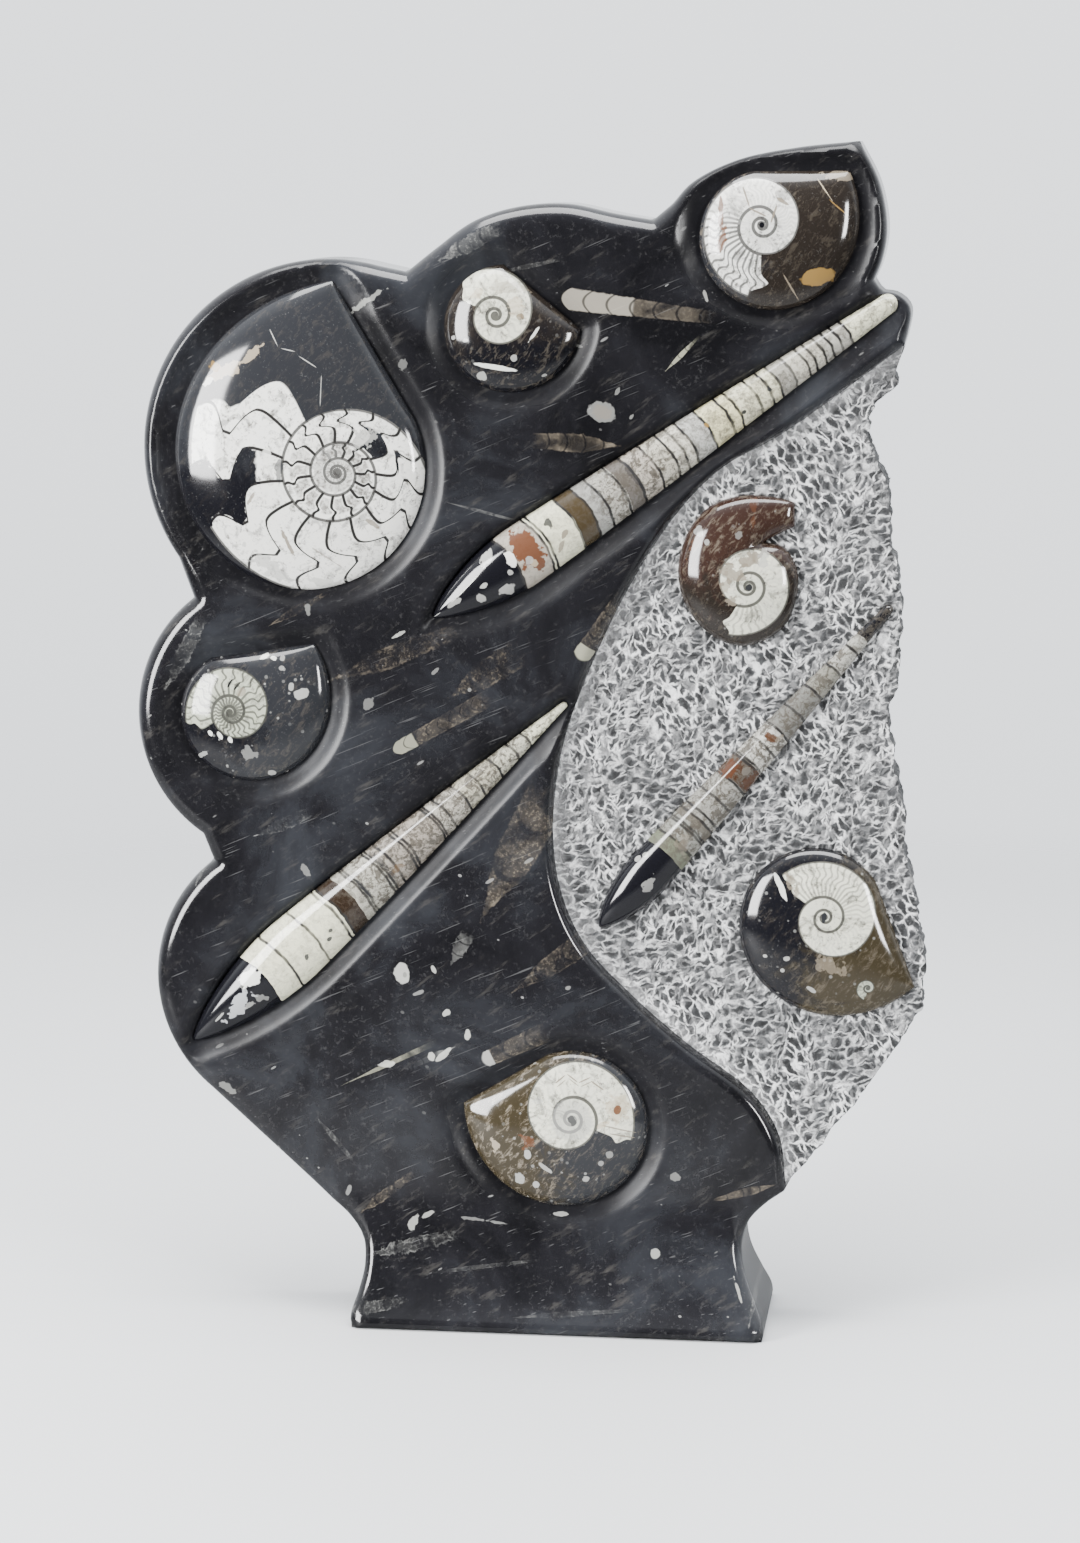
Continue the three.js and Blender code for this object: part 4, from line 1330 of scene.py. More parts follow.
# Each long shell: walls between chambers along it from the black tip at 0 to the thin end at 1, how far they
# bulge, the colour from each place on, and marks as x and z in millimetres along and across the axis
CHAMBERS = {
    "orthoceras_top": dict(
        bend=0.02, tip=0.186, mottle=0.85, mottled=(0.34, 0.47),
        walls=(
            0.186, 0.248, 0.256, 0.315, 0.35, 0.38, 0.418, 0.45, 0.49, 0.525, 0.545, 0.565, 0.605, 0.645,
            0.665, 0.705, 0.73, 0.75, 0.78, 0.81, 0.825, 0.845, 0.862, 0.88, 0.9,
        ),
        colours=(
            (0, BLACK), (0.186, (0.34, 0.31, 0.26)), (0.248, CREAM), (0.315, (0.045, 0.033, 0.017)),
            (0.35, (0.28, 0.28, 0.26)), (0.38, (0.33, 0.32, 0.28)), (0.418, (0.11, 0.1, 0.09)),
            (0.45, (0.36, 0.33, 0.28)), (0.49, (0.42, 0.4, 0.33)), (0.525, (0.52, 0.5, 0.42)),
            (0.565, (0.4, 0.4, 0.37)), (0.605, (0.62, 0.58, 0.36)), (0.665, (0.6, 0.58, 0.42)),
            (0.75, (0.32, 0.31, 0.27)), (0.78, (0.46, 0.44, 0.37)), (0.845, (0.36, 0.35, 0.31)), (0.9, CREAM),
        ),
        marks=(
            (77, 1, 9, 14, 0, (0.105, 0.037, 0.016), 0.95, 0.9), (76, -8, 2.6, 2.4, 0, TAN, 0.7, 0.8),
            (52, 13, 5, 4, 20, ASH, 0.9, 1.4), (17, 0, 5, 3.6, 0, ASH, 0.75, 0.8),
            (40, -2, 3, 1.6, 0, ASH, 0.9, 1.2), (34, -9, 3, 4, 0, ASH, 0.75, 0.6),
            (52, -13, 6, 3.5, 0, ASH, 0.8, 0.8), (65, 3, 3, 6, 0, CHALK, 0.9, 0.8),
            (4, 0, 3, 2, 0, ASH, 0.9, 1.4), (30, 5, 13, 0.5, 10, CHALK, 0.8, 0.5),
            (60, -4, 2, 2, 0, ASH, 0.8, 0.8), (98, 8, 2.6, 3.4, 0, CHARCOAL, 0.9, 1.4),
            (102, -4, 4, 1.6, 30, STAIN, 0.9, 1.4), (97, -9, 5, 1.5, 30, STAIN, 0.8, 1.4),
            (74, -5, 3, 2.4, 20, ASH, 0.7, 1.0), (240, -7, 1.5, 1.8, 0, CHARCOAL, 0.95, 1.0),
            (261, -4, 1.6, 5.5, 0, CHARCOAL, 0.9, 1.6), (216, 3, 1.2, 2, 0, OCHRE, 0.8, 1.4),
            (160, 0, 2, 14, 0, CHARCOAL, 0.45, 1.6),
        )),
    "orthoceras_left": dict(
        bend=0.024, tip=0.205, mottle=0.85, mottled=(0.42, 0.9),
        walls=(
            0.26, 0.333, 0.395, 0.405, 0.463, 0.469, 0.518, 0.525, 0.546, 0.582, 0.59, 0.66, 0.666, 0.69,
            0.733, 0.773, 0.82, 0.865, 0.9,
        ),
        colours=(
            (0, BLACK), (0.205, CREAM), (0.4, (0.022, 0.014, 0.009)), (0.438, (0.34, 0.33, 0.28)),
            (0.525, (0.26, 0.235, 0.2)), (0.59, (0.28, 0.25, 0.21)), (0.666, (0.36, 0.34, 0.29)),
            (0.733, (0.38, 0.36, 0.28)), (0.82, (0.42, 0.41, 0.33)), (0.9, CREAM),
        ),
        marks=(
            (42, -3, 13, 5.5, 20, (0.38, 0.39, 0.4), 0.9, 1.8), (61, 6, 8, 6, 10, CHALK, 0.9, 1.0),
            (27, 0, 4, 1.5, 10, ASH, 0.8, 1.4), (48, -9, 4, 3, 0, ASH, 0.6, 1.6),
            (57, -10, 3, 3, 0, ASH, 0.4, 1.8), (99, -9, 2, 1.6, 0, CHARCOAL, 0.9, 1.6),
            (123, -7, 1.6, 1.4, 0, CHARCOAL, 0.9, 1.4), (118, -11, 1.6, 1.2, 0, CHARCOAL, 0.9, 1.4),
            (184, -8, 5, 3, 0, UMBER, 0.6, 2.0), (158, -2, 1.6, 12, 0, CHARCOAL, 0.7, 1.0),
            (178, 2, 1.6, 12, 0, CHARCOAL, 0.6, 1.4),
        )),
    "orthoceras_right": dict(
        bend=0.014, tip=0.24, mottle=0.9, mottled=(0.22, 0.82),
        walls=(
            0.278, 0.315, 0.322, 0.35, 0.366, 0.413, 0.465, 0.52, 0.527, 0.575, 0.623, 0.68, 0.743, 0.81,
            0.87,
        ),
        colours=(
            (0, BLACK), (0.24, (0.12, 0.13, 0.09)), (0.278, (0.22, 0.22, 0.195)), (0.33, (0.12, 0.11, 0.09)),
            (0.35, (0.25, 0.245, 0.22)), (0.465, (0.045, 0.022, 0.012)), (0.522, (0.42, 0.41, 0.37)),
            (0.623, (0.15, 0.148, 0.135)), (0.743, (0.2, 0.195, 0.165)), (0.81, (0.34, 0.335, 0.3)),
            (0.905, BLACK),
        ),
        marks=(
            (52, 11.5, 2, 1.4, 0, ASH, 0.8, 1.2), (58, 10, 1.6, 1.3, 0, ASH, 0.7, 1.2),
            (45, -4, 5, 3, 20, ASH, 0.5, 1.8), (136, 8, 6, 5, 0, (0.075, 0.027, 0.012), 0.85, 1.4),
            (139, -11, 7, 4, 0, (0.06, 0.024, 0.011), 0.8, 1.4),
            (142, -2, 3.5, 4, 0, (0.12, 0.11, 0.095), 0.8, 1.4),
            (169, 1, 2.2, 7.5, 0, (0.065, 0.028, 0.013), 0.9, 1.2), (172, -6, 3, 2, 0, STAIN, 0.6, 1.6),
            (80, -4, 6, 4, 30, STAIN, 0.4, 2.0),
        )),
}


def orthoceras_material(name, groups, settings):
    material, n, shader, place = new_material(name + "_stone", IOR=1.6)
    spec = CHAMBERS[name]
    half = ORTHOCERAS[name][2]
    length = orthoceras_frame(name)[3]
    u, v, _ = n.split(n.add("UVMap", uv_map="shell").outputs[0])
    side = n.scaled(v, 2.0, -1.0)
    bulge = n.scaled(u, -0.8 * spec["bend"], spec["bend"])
    ripple = n.times(n.minus(n.noise(place, 0.007, 3), 0.5), 0.008)
    along = n.plus(n.scaled(n.times(side, side), bulge, u), ripple)
    colour = n.ramp(along, spec["colours"], "CONSTANT")
    cloud = n.noise(place, 0.0065, 6, 0.74, 0.8)
    grain = n.noise(place, 0.0021, 4, 0.74)
    calm, busy = spec["mottled"]
    share = n.times(n.step(u, calm, calm + 0.06, 0.25, 1.0), n.step(u, busy, busy + 0.1, 1.0, 0.55))
    pale = n.times(n.step(along, spec["tip"], spec["tip"] + 0.004), share)
    mottle = n.times(n.step(cloud, 0.47, 0.57), spec["mottle"])
    grime = tuple(settings.grime)
    colour = n.mix(n.times(mottle, pale), colour, grime)
    soiled = n.times(n.step(grain, 0.48, 0.57), n.step(cloud, 0.4, 0.55, 0.4, 0.95))
    colour = n.mix(n.times(soiled, pale), colour, grime)
    gap = None
    for wall in spec["walls"]:
        distance = n.math("ABSOLUTE", n.minus(along, wall))
        gap = distance if gap is None else n.least(gap, distance)
    line = settings.wall / MM / length
    strength = n.scaled(n.noise(place, 0.012, 2), 1.4, 0.2, clamp=True)
    colour = n.mix(n.times(n.step(gap, line, 3 * line, 1, 0), strength), colour, tuple(settings.line))
    vector = n.join(n.times(u, length * MM), 0.0, n.times(side, half * MM))
    colour = marks(n, groups, vector, place, colour, spec["marks"])
    n.plug(colour, shader.inputs["Base Color"])
    finish_polish(n, groups, shader, place, settings.roughness, 0.05)
    return material


# Shells cut flush in the polished face: centre, half length, half width, angle of the way they thin, taper,
# chambers, ragged, share of the length that is a solid head, how speckled, colour, head's colour, strength
FLUSH = (
    (72, 664, 52, 7.5, -7, 0.55, 7, 0.3, 0.45, 0.5, STAIN, (0.5, 0.46, 0.38), 0.9),
    (31, 579, 29, 7.0, 177, 0.75, 5, 0.5, 0.0, 0.55, VEIN, VEIN, 0.75),
    (-55, 398, 38, 4.6, 30, 1.3, 9, 0.4, 0.22, 0.85, VEIN, CREAM, 0.6),
    (-88, 441, 46, 10, 22, 0.5, 3, 0.6, 0.0, 1.0, VEIN, VEIN, 0.5),
    (-28, 430, 30, 8, 33, 1.2, 3, 0.6, 0.0, 1.0, VEIN, VEIN, 0.5),
    (-8, 313, 52, 11, 62, 1.4, 3, 0.5, 0.0, 0.9, VEIN, VEIN, 0.75),
    (-45, 250, 13, 5, 62, 1.0, 3, 1.4, 0.0, 0.5, ASH, ASH, 0.6),
    (-9, 186, 24, 5.2, 26, 1.4, 3, 0.4, 0.16, 0.85, VEIN, CHALK, 0.7),
    (14, 240, 32, 5.5, 36, 1.5, 3, 0.6, 0.0, 0.95, VEIN, VEIN, 0.55),
    (47, 462, 26, 6, 56, 0.8, 3, 0.3, 0.2, 0.9, VEIN, CREAM, 0.75),
    (-92, 172, 36, 0.5, 26, 7.0, 12, 0.3, 0.0, 0.5, CREAM, CREAM, 0.8),
    (-62, 178, 16, 3.2, 206, 0.5, 4, 0.3, 0.0, 0.3, ASH, ASH, 0.7),
    (141, 93, 22, 5, 196, 0.2, 4, 0.3, 0.0, 0.7, VEIN, VEIN, 0.75),
    (-224, 442, 30, 6, 62, 0.7, 3, 1.2, 0.0, 0.9, ASH, ASH, 0.7),
    (-37, 704, 24, 6, 28, 0.8, 3, 1.4, 0.0, 0.8, ASH, ASH, 0.7),
    (98, 636, 16, 2.4, 46, 0.3, 5, 0.3, 0.0, 0.1, CREAM, CREAM, 0.8),
    (-30, 40, 46, 2.2, 8, 0.3, 3, 0.4, 0.0, 0.9, ASH, ASH, 0.45),
    (-76, 52, 34, 6, 14, 0.6, 3, 1.6, 0.0, 0.95, ASH, ASH, 0.7),
    (-95, 84, 24, 4, 38, 0.6, 3, 1.2, 0.0, 0.9, VEIN, VEIN, 0.6),
    (-100, 14, 22, 5, 12, 0.6, 3, 1.6, 0.0, 0.95, ASH, ASH, 0.8),
    (30, 14, 40, 2.4, 5, 0.4, 3, 0.8, 0.0, 0.9, ASH, ASH, 0.5),
    (150, 28, 22, 2.4, 80, 0.4, 3, 1.4, 0.0, 0.8, ASH, ASH, 0.8),
    (60, 285, 24, 6, 70, 1.0, 3, 0.7, 0.0, 1.0, VEIN, VEIN, 0.4),
    (-205, 520, 20, 4, 58, 0.6, 3, 1.4, 0.0, 0.9, ASH, ASH, 0.6),
    (-160, 330, 22, 5, 25, 0.7, 3, 1.2, 0.0, 1.0, ASH, ASH, 0.5),
    (-30, 535, 24, 1.4, -14, 0.5, 3, 0.4, 0.0, 0.4, ASH, ASH, 0.5),
    (-150, 470, 22, 4, 30, 0.4, 3, 0.8, 0.0, 1.0, VEIN, VEIN, 0.5),
    (0, 690, 26, 2, 12, 0.5, 3, 0.8, 0.0, 0.9, ASH, ASH, 0.5),
    (-215, 300, 14, 3, 70, 0.5, 3, 1.2, 0.0, 0.8, ASH, ASH, 0.7),
    (-128, 120, 20, 2.4, -50, 0.5, 3, 1.2, 0.0, 0.9, ASH, ASH, 0.6),
)

# Small pale fossils in the polished face, given as the marks on the goniatites are
PALE_MARKS = (
    (47, 599, 8.5, 6.5, -20, ASH, 0.85, 0.5), (47, 599, 5.5, 4, -20, STAIN, 0.8, 1.0),
    (-83, 233, 5, 7, 10, CHALK, 0.9, 0.5), (-81, 232, 1.2, 1.6, 0, CHARCOAL, 0.9, 0.6),
    (-62, 236, 1.6, 3, 20, CHALK, 0.8, 0.8), (-72, 220, 3.4, 1.2, 20, ASH, 0.9, 0.9),
    (-54, 207, 2, 3, -40, CHALK, 0.9, 0.7), (-40, 193, 2, 3.6, -10, CHALK, 0.9, 0.7),
    (-56, 179, 6.5, 2, 42, CHALK, 0.85, 0.6), (-93, 172, 5, 2.2, 10, CHALK, 0.8, 0.8),
    (-64, 178, 2.6, 3.4, 20, CHALK, 0.9, 0.8), (-104, 410, 4, 3.4, 30, ASH, 0.6, 1.0),
    (-84, 455, 4.6, 1, 30, CHALK, 0.7, 0.8), (-60, 432, 3, 1.2, 45, ASH, 0.7, 1.0),
    (2, 622, 4, 2, 10, ASH, 0.7, 1.2), (57, 612, 3, 1.2, 60, ASH, 0.7, 1.0),
    (32, 640, 2.4, 1, -10, ASH, 0.6, 1.0), (-143, 470, 2, 4, 10, ASH, 0.7, 1.0),
    (139, 31, 1, 8, 20, CHALK, 0.7, 0.8), (84, 52, 3, 3.4, 0, CHALK, 0.6, 0.6),
    (96, 102, 3, 2.6, 0, ASH, 0.7, 0.9), (-76, 66, 2.4, 6, -30, CHALK, 0.6, 1.0),
    (-66, 72, 4.6, 1.4, 30, CHALK, 0.6, 0.8), (-119, 86, 1.6, 4, -20, ASH, 0.8, 0.8),
    (-20, 68, 7, 1, -8, ASH, 0.7, 1.4), (21, 74, 5, 1.3, 0, CHALK, 0.7, 0.7),
    (-36, 70, 7, 1, -5, ASH, 0.6, 1.4), (-205, 95, 2, 5, 30, ASH, 0.8, 0.9),
    (-199, 152, 2.6, 6, 60, ASH, 0.7, 1.2), (-226, 476, 2, 5, 60, CHALK, 0.7, 0.9),
    (-197, 612, 9, 4, -20, ASH, 0.8, 1.6), (-80, 628, 3, 4, -20, ASH, 0.5, 1.0),
    (-103, 668, 12, 2, 34, CHALK, 0.5, 1.6), (112, 672, 1.2, 4, 20, CHALK, 0.6, 1.0),
    (-12, 612, 3, 1, 10, ASH, 0.8, 1.0), (66, 596, 2, 1, 50, ASH, 0.8, 1.0),
    (-146, 300, 2, 4, 40, ASH, 0.7, 1.4), (-38, 420, 1.4, 1.4, 0, ASH, 0.8, 0.8),
    (26, 226, 2, 1.4, 20, ASH, 0.8, 0.8),
)


# The polished face is painted in three bands of height, each with only the fossils that reach into it
BANDS = {"foot": (-10, 200), "middle": (200, 430), "top": (430, 780)}


def in_band(row, band):
    """Whether a row that starts with x, z, half length and half width reaches into a band."""
    low, high = BANDS[band]
    reach = max(row[2], row[3])
    return low - reach < row[1] < high + reach


def limestone_material(groups, settings, band):
    material, n, shader, place = new_material("polished_limestone_" + band, IOR=1.54)
    cloud = n.noise(place, 0.09, 6, 0.62, 0.6)
    stone, cloud_and_sheen = tuple(settings.stone), tuple(settings.cloud_and_sheen)
    # The palest clouds take the cloud-and-sheen colour: paler clouds in the stone, and with them a painted
    # soft bluish sheen of reflection
    colour = n.ramp(cloud, [(0.36, darker(stone, 0.5)), (0.5, stone), (0.66, cloud_and_sheen)])
    dust = n.noise(place, 0.003, 5, 0.75)
    dusty = n.step(n.noise(place, 0.06, 3), 0.35, 0.65, 0.15, 0.55)
    colour = n.mix(n.times(n.step(dust, 0.53, 0.72), dusty), colour, (0.055, 0.054, 0.055))
    smear = n.noise(n.stretched(place, -0.6, 4.5), 0.007, 4, 0.65)
    colour = n.mix(n.times(n.step(smear, 0.56, 0.76), 0.45), colour, (0.07, 0.066, 0.06))
    scratch = n.noise(n.stretched(place, -0.4, 30), 0.0011, 1)
    colour = n.mix(n.times(n.step(scratch, 0.7, 0.78), 0.35), colour, (0.16, 0.16, 0.16))
    crowd = n.step(n.noise(place, 0.05, 2), 0.4, 0.6, 0.1, 0.8)
    flecks = n.group(groups["fleck"], Vector=place, Amount=crowd)["Flecks"]
    colour = n.mix(n.times(flecks, 0.7), colour, (0.26, 0.26, 0.25))
    shells = [row for row in FLUSH if in_band(row, band)]
    for x, z, half, wide, angle, taper, chambers, ragged, head, speckle, tint, solid, strength in shells:
        unit = n.oval(place, x, z, half, wide, angle)
        shell = n.group(groups["flush"], Vector=unit, Place=place, Taper=taper, Chambers=chambers,
                        Ragged=ragged, Head=head, Speckle=speckle)
        tone = n.mix(shell["Head"], tint, solid) if head else tint
        colour = n.mix(n.times(shell["Mask"], 0.52 * strength), colour, tone)
    seen = [(*row[:6], 0.5 * row[6], row[7]) for row in PALE_MARKS if in_band(row, band)]
    colour = marks(n, groups, place, place, colour, seen)
    n.plug(colour, shader.inputs["Base Color"])
    recess = n.add("Attribute", attribute_name="recess").outputs["Fac"]
    n.plug(n.scaled(recess, -0.42, 0.5), shader.inputs["Specular IOR Level"])
    finish_polish(n, groups, shader, place, n.scaled(recess, 0.2, settings.roughness), 0.1)
    return material


def chiselled_material(groups, crushed, name="chiselled_limestone", light=1.0):
    """Rough stone, black in its hollows, partly the unbruised stone and partly painted shade, with a crushed
    colour on its ridges that light makes stronger.
    """
    material, n, shader, place = new_material(name, IOR=1.5)
    carved = n.add("Attribute", attribute_name="bruise").outputs["Fac"]
    ground = n.add("Attribute", attribute_name="ground").outputs["Fac"]
    bruises = n.group(groups["bruise"], Vector=place)
    grain = n.noise(place, 0.0013, 3, 0.7)
    patch = n.step(n.noise(place, 0.03, 3, 0.6), 0.38, 0.62, 0.5, 1.1)
    shades = [(0.36, (0.007, 0.0073, 0.008)), (0.6, (0.06, 0.062, 0.065))]
    base = n.ramp(n.noise(place, 0.006, 5, 0.75), shades)
    # Painted shade: the chisel hollows are darkened towards black, over the unbruised black stone
    base = n.mix(n.times(bruises["Pit Shade"], 0.75), base, (0.005, 0.0052, 0.006))
    hit = n.most(bruises["Bruise"], n.times(n.step(carved, 0.5, 0.95), 0.2))
    hit = n.times(hit, n.scaled(grain, 1.6, 0.3))
    edge = n.step(ground, 1.0, 9.0, 0.5, 0.0)
    hit = n.plus(n.times(hit, patch), n.times(edge, grain))
    colour = n.mix(n.times(hit, light, clamp=True), base, tuple(crushed))
    n.plug(colour, shader.inputs["Base Color"])
    n.plug(n.scaled(grain, 0.3, 0.6), shader.inputs["Roughness"])
    relief = n.plus(bruises["Bruise"], n.plus(grain, n.noise(place, 0.004, 4, 0.6)))
    bump(n, shader, relief, 0.7, 0.0012)
    return material


def back_material(groups):
    material, n, shader, place = new_material("honed_back", IOR=1.55)
    cloud = n.noise(place, 0.09, 5, 0.6)
    colour = n.ramp(cloud, [(0.35, (0.022, 0.023, 0.027)), (0.7, (0.045, 0.047, 0.053))])
    flecks = n.group(groups["fleck"], Vector=place, Amount=0.8)["Flecks"]
    colour = n.mix(n.times(flecks, 0.3), colour, (0.25, 0.25, 0.24))
    n.plug(colour, shader.inputs["Base Color"])
    n.plug(n.scaled(n.noise(place, 0.02, 4), 0.15, 0.38), shader.inputs["Roughness"])
    saw = n.noise(n.stretched(place, 0.2, 25), 0.0016, 2)
    bump(n, shader, saw, 0.25, 0.0004)
    return material


def shared_groups():
    """The node groups, made once and found again by name."""
    made = {"coil": ("goniatite coil", coil_group), "patch": ("ragged mark", patch_group),
            "flush": ("flush shell", flush_group), "fleck": ("shell flecks", fleck_group),
            "polish": ("hand polish", polish_group), "bruise": ("chisel bruises", bruise_group)}
    return {key: bpy.data.node_groups.get(name) or make() for key, (name, make) in made.items()}


# ---------------------------------------------------------------- the add-on

def length_property(name, description, millimetres):
    return FloatProperty(name=name, description=description, default=millimetres * MM, min=0,
                         subtype="DISTANCE", unit="LENGTH")


def colour_property(name, description, colour):
    return FloatVectorProperty(name=name, description=description, default=colour, min=0, max=1, size=3,
                               subtype="COLOR")


def share_property(name, description, share):
    return FloatProperty(name=name, description=description, default=share, min=0, max=1, subtype="FACTOR")


def power_property(name, description, watts):
    return FloatProperty(name=name, description=description, default=watts, min=0, unit="POWER")


class FOSSIL_PG_slab(PropertyGroup):
    """Sizes and colours of the slab."""
    recess: length_property("Recess", "Depth of the dished recess round a fossil in the polished face", 6)
    rim: length_property("Rim", "Radius of the rounded rim of the lobes", 12)
    ripple: length_property("Ripple", "Height of the slow waves that polishing left in the face", 0.9)
    chisel: length_property("Chisel Depth", "Depth of the chisel strokes in the rough ground", 1.4)
    stone: colour_property("Limestone", "Colour of the polished limestone", (0.0095, 0.0093, 0.011))
    # Paler clouds in the limestone, which also paint a soft bluish sheen of reflection
    cloud_and_sheen: colour_property("Haze", "Colour of the paler clouds in the limestone", (0.022, 0.0235, 0.0275))
    bruise: colour_property("Bruises", "Colour of the stone that the chisel has crushed", (0.8, 0.8, 0.8))
    roughness: share_property("Roughness", "Roughness of the polished face", 0.07)


class FOSSIL_PG_goniatites(PropertyGroup):
    """Sizes and colours of the goniatites."""
    rise: length_property("Rise", "Height of a small goniatite's dome above its edge", 15)
    shell: colour_property("Shell", "Colour of the palest shell", CREAM)
    line: colour_property("Walls", "Colour of the walls between the chambers", LINE)
    roughness: share_property("Roughness", "Roughness of the polished shell", 0.07)


class FOSSIL_PG_orthoceras(PropertyGroup):
    """Sizes and colours of the orthoceras."""
    wall: length_property("Wall", "Half thickness of the walls between the chambers", 0.45)
    line: colour_property("Walls", "Colour of the walls between the chambers", LINE)
    grime: colour_property("Mottling", "Colour of the dark mottling in the shell", GRIME)
    roughness: share_property("Roughness", "Roughness of the polished shell", 0.07)


class FOSSIL_PG_stage(PropertyGroup):
    """The floor and the lights."""
    floor: colour_property("Floor", "Colour of the floor", (0.62, 0.63, 0.64))
    key: power_property("Key Light", "Power of the light on the left", 150)
    fill: power_property("Fill Light", "Power of the light on the right", 45)
    top: power_property("Top Light", "Power of the light above", 130)


def base_for(name, recess):
    """Height of the slab's face at the edge of a fossil."""
    outlines = {name: fossil_outlines()[name]}
    outline = slab_outline()
    return lambda plan: face_height(plan, outlines, outline, recess)[0]


class FOSSIL_OT_slab(Operator):
    """Make the carved slab with its pockets, its chiselled ground and its foot"""
    bl_idname = "fossil.slab"
    bl_label = "Slab"

    def execute(self, context):
        settings = context.scene.fossil_slab
        obj = make_slab(settings)
        groups = shared_groups()
        broken = chiselled_material(groups, (0.3, 0.3, 0.3), "broken_limestone", 0.3)
        finishes = [chiselled_material(groups, settings.bruise), broken, back_material(groups)]
        finishes += [limestone_material(groups, settings, band) for band in BANDS]
        for material in finishes:
            obj.data.materials.append(material)
        assign_finishes(obj)
        return {"FINISHED"}


def assign_finishes(obj):
    """Polished, chiselled, broken and honed faces, by place and direction."""
    mesh = obj.data
    centres = face_centres(mesh)
    normals = read(mesh.polygons, "normal", 3)
    plan = centres[:, [0, 2]]
    edge, nearest = measure(plan, slab_outline())
    in_ground, _ = measure(plan, GROUND_AREA)
    polished = 3 + sum((centres[:, 2] > low).astype(int) for low, _ in list(BANDS.values())[1:])
    finish = np.where(in_ground > 0, 0, polished)
    side = (np.abs(edge) < 0.3) | (centres[:, 1] > -12)
    broken = side & (nearest[:, 0] > 150) & (nearest[:, 1] > 94) & (nearest[:, 1] < 640)
    finish[side] = polished[side]
    finish[broken] = 1
    finish[(centres[:, 1] > -BACK - 6) & (normals[:, 1] > 0.5)] = 2
    mesh.polygons.foreach_set("material_index", finish)
    mesh.update()


class FOSSIL_OT_goniatites(Operator):
    """Make the seven domed goniatites"""
    bl_idname = "fossil.goniatites"
    bl_label = "Goniatites"

    def execute(self, context):
        settings = context.scene.fossil_goniatites
        recess = context.scene.fossil_slab.recess
        groups = shared_groups()
        for name in (*GONIATITES, NOTCHED):
            obj = make_goniatite(name, settings.rise, base_for(name, recess))
            obj.data.materials.append(goniatite_material(name, groups, settings))
            finish_piece(obj, "goniatite", name)
        return {"FINISHED"}


class FOSSIL_OT_orthoceras(Operator):
    """Make the three long orthoceras"""
    bl_idname = "fossil.orthoceras"
    bl_label = "Orthoceras"

    def execute(self, context):
        settings = context.scene.fossil_orthoceras
        recess = context.scene.fossil_slab.recess
        groups = shared_groups()
        for name in ORTHOCERAS:
            obj = make_orthoceras(name, base_for(name, recess))
            obj.data.materials.append(orthoceras_material(name, groups, settings))
            finish_piece(obj, "orthoceras", name)
        return {"FINISHED"}


class FOSSIL_OT_stage(Operator):
    """Make the floor, the lights and the camera"""
    bl_idname = "fossil.stage"
    bl_label = "Stage"

    def execute(self, context):
        make_stage(context.scene.fossil_stage)
        return {"FINISHED"}


class FOSSIL_PT_plaque(Panel):
    """The pieces, each with the sizes and colours that it is made with"""
    bl_idname = "FOSSIL_PT_plaque"
    bl_label = "Fossil plaque"
    bl_space_type = "VIEW_3D"
    bl_region_type = "UI"
    bl_category = "Fossil plaque"

    def draw(self, context):
        for operator in OPERATORS:
            settings = getattr(context.scene, operator.bl_idname.replace(".", "_"))
            box = self.layout.box()
            box.operator(operator.bl_idname)
            for name in settings.__annotations__:
                box.prop(settings, name)


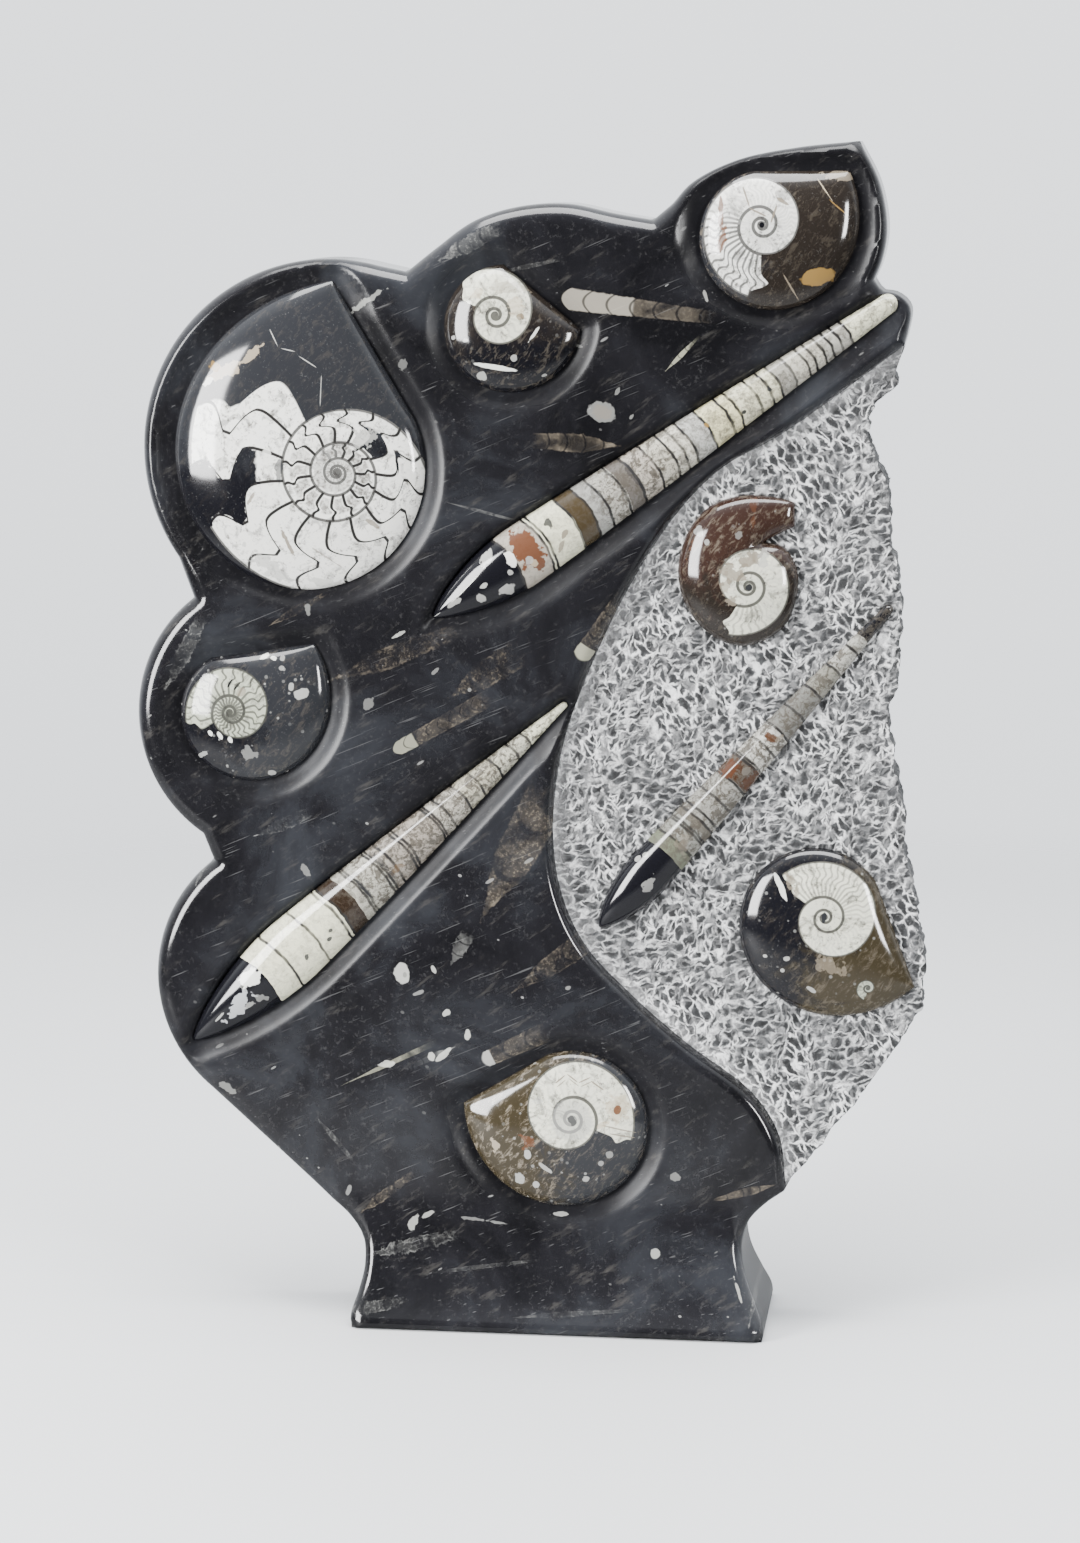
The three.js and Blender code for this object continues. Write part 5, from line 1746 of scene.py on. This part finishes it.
def make_stage(settings):
    deselect_all()
    bpy.ops.mesh.primitive_plane_add(size=8, location=(0, 0, 0))
    floor = named("studio_floor")
    material, n, shader, spot = new_material("pale_floor", Roughness=0.6)
    # Painted reflection: where the floor is seen in the polished stone it is painted at a fifth of its
    # colour, so its reflection reads dark
    in_reflection = n.add("LightPath").outputs["Is Glossy Ray"]
    n.plug(n.mix(in_reflection, tuple(settings.floor), darker(settings.floor, 0.2)), shader.inputs["Base Color"])
    away = n.vector("LENGTH", n.mapping(spot, (0, -0.5, 0)), out="Value")
    n.plug(n.step(away, 0.95, 1.5, 1, 0), shader.inputs["Alpha"])
    floor.data.materials.append(material)
    target = Vector((0.00424, 0, 0.36327))
    for name, place, width, height, power in (
        ("key_light", (-1.75, -1.5, 0.8), 0.9, 1.4, settings.key),
        ("fill_light", (1.9, -1.6, 0.75), 0.3, 0.9, settings.fill),
        ("top_light", (0.0, -0.35, 2.4), 2.2, 1.3, settings.top),
    ):
        bpy.ops.object.light_add(type="AREA", location=place)
        light = bpy.context.object
        light.name = name
        light.data.shape = "RECTANGLE"
        light.data.size = width
        light.data.size_y = height
        light.data.energy = power
        light.rotation_euler = (target - Vector(place)).to_track_quat("-Z", "Y").to_euler()
    world = bpy.data.worlds.new("studio")
    bpy.context.scene.world = world
    world.use_nodes = True
    sky = Nodes(world.node_tree)
    direction = sky.add("TexCoord").outputs["Generated"]
    lit = sky.vector("DOT_PRODUCT", direction, (0, 0.72, 0.69), out="Value")
    colour = sky.ramp(sky.scaled(lit, 0.5, 0.5), [
        (0.2, (0.03, 0.032, 0.036)), (0.43, (0.13, 0.14, 0.16)), (0.6, (1.2, 1.25, 1.32)),
        (0.9, (2.1, 2.17, 2.25))])
    background = world.node_tree.nodes["Background"]
    sky.plug(colour, background.inputs["Color"])
    background.inputs["Strength"].default_value = 1.0
    place = Vector((0.3049, -2.4487, 0.7673))
    bpy.ops.object.camera_add(location=place)
    camera = bpy.context.object
    camera.name = "front_camera"
    camera.data.lens = 89.7
    camera.rotation_euler = (target - place).to_track_quat("-Z", "Y").to_euler()
    bpy.context.scene.camera = camera


OPERATORS = (FOSSIL_OT_slab, FOSSIL_OT_goniatites, FOSSIL_OT_orthoceras, FOSSIL_OT_stage)
SETTINGS = (FOSSIL_PG_slab, FOSSIL_PG_goniatites, FOSSIL_PG_orthoceras, FOSSIL_PG_stage)


def register():
    for cls in (*SETTINGS, *OPERATORS, FOSSIL_PT_plaque):
        bpy.utils.register_class(cls)
    for operator, settings in zip(OPERATORS, SETTINGS):
        setattr(bpy.types.Scene, operator.bl_idname.replace(".", "_"), PointerProperty(type=settings))


def unregister():
    for operator in OPERATORS:
        delattr(bpy.types.Scene, operator.bl_idname.replace(".", "_"))
    for cls in reversed((*SETTINGS, *OPERATORS, FOSSIL_PT_plaque)):
        bpy.utils.unregister_class(cls)


def main():
    register()
    bpy.ops.fossil.slab()
    bpy.ops.fossil.goniatites()
    bpy.ops.fossil.orthoceras()
    bpy.ops.fossil.stage()


if __name__ == "__main__":
    main()
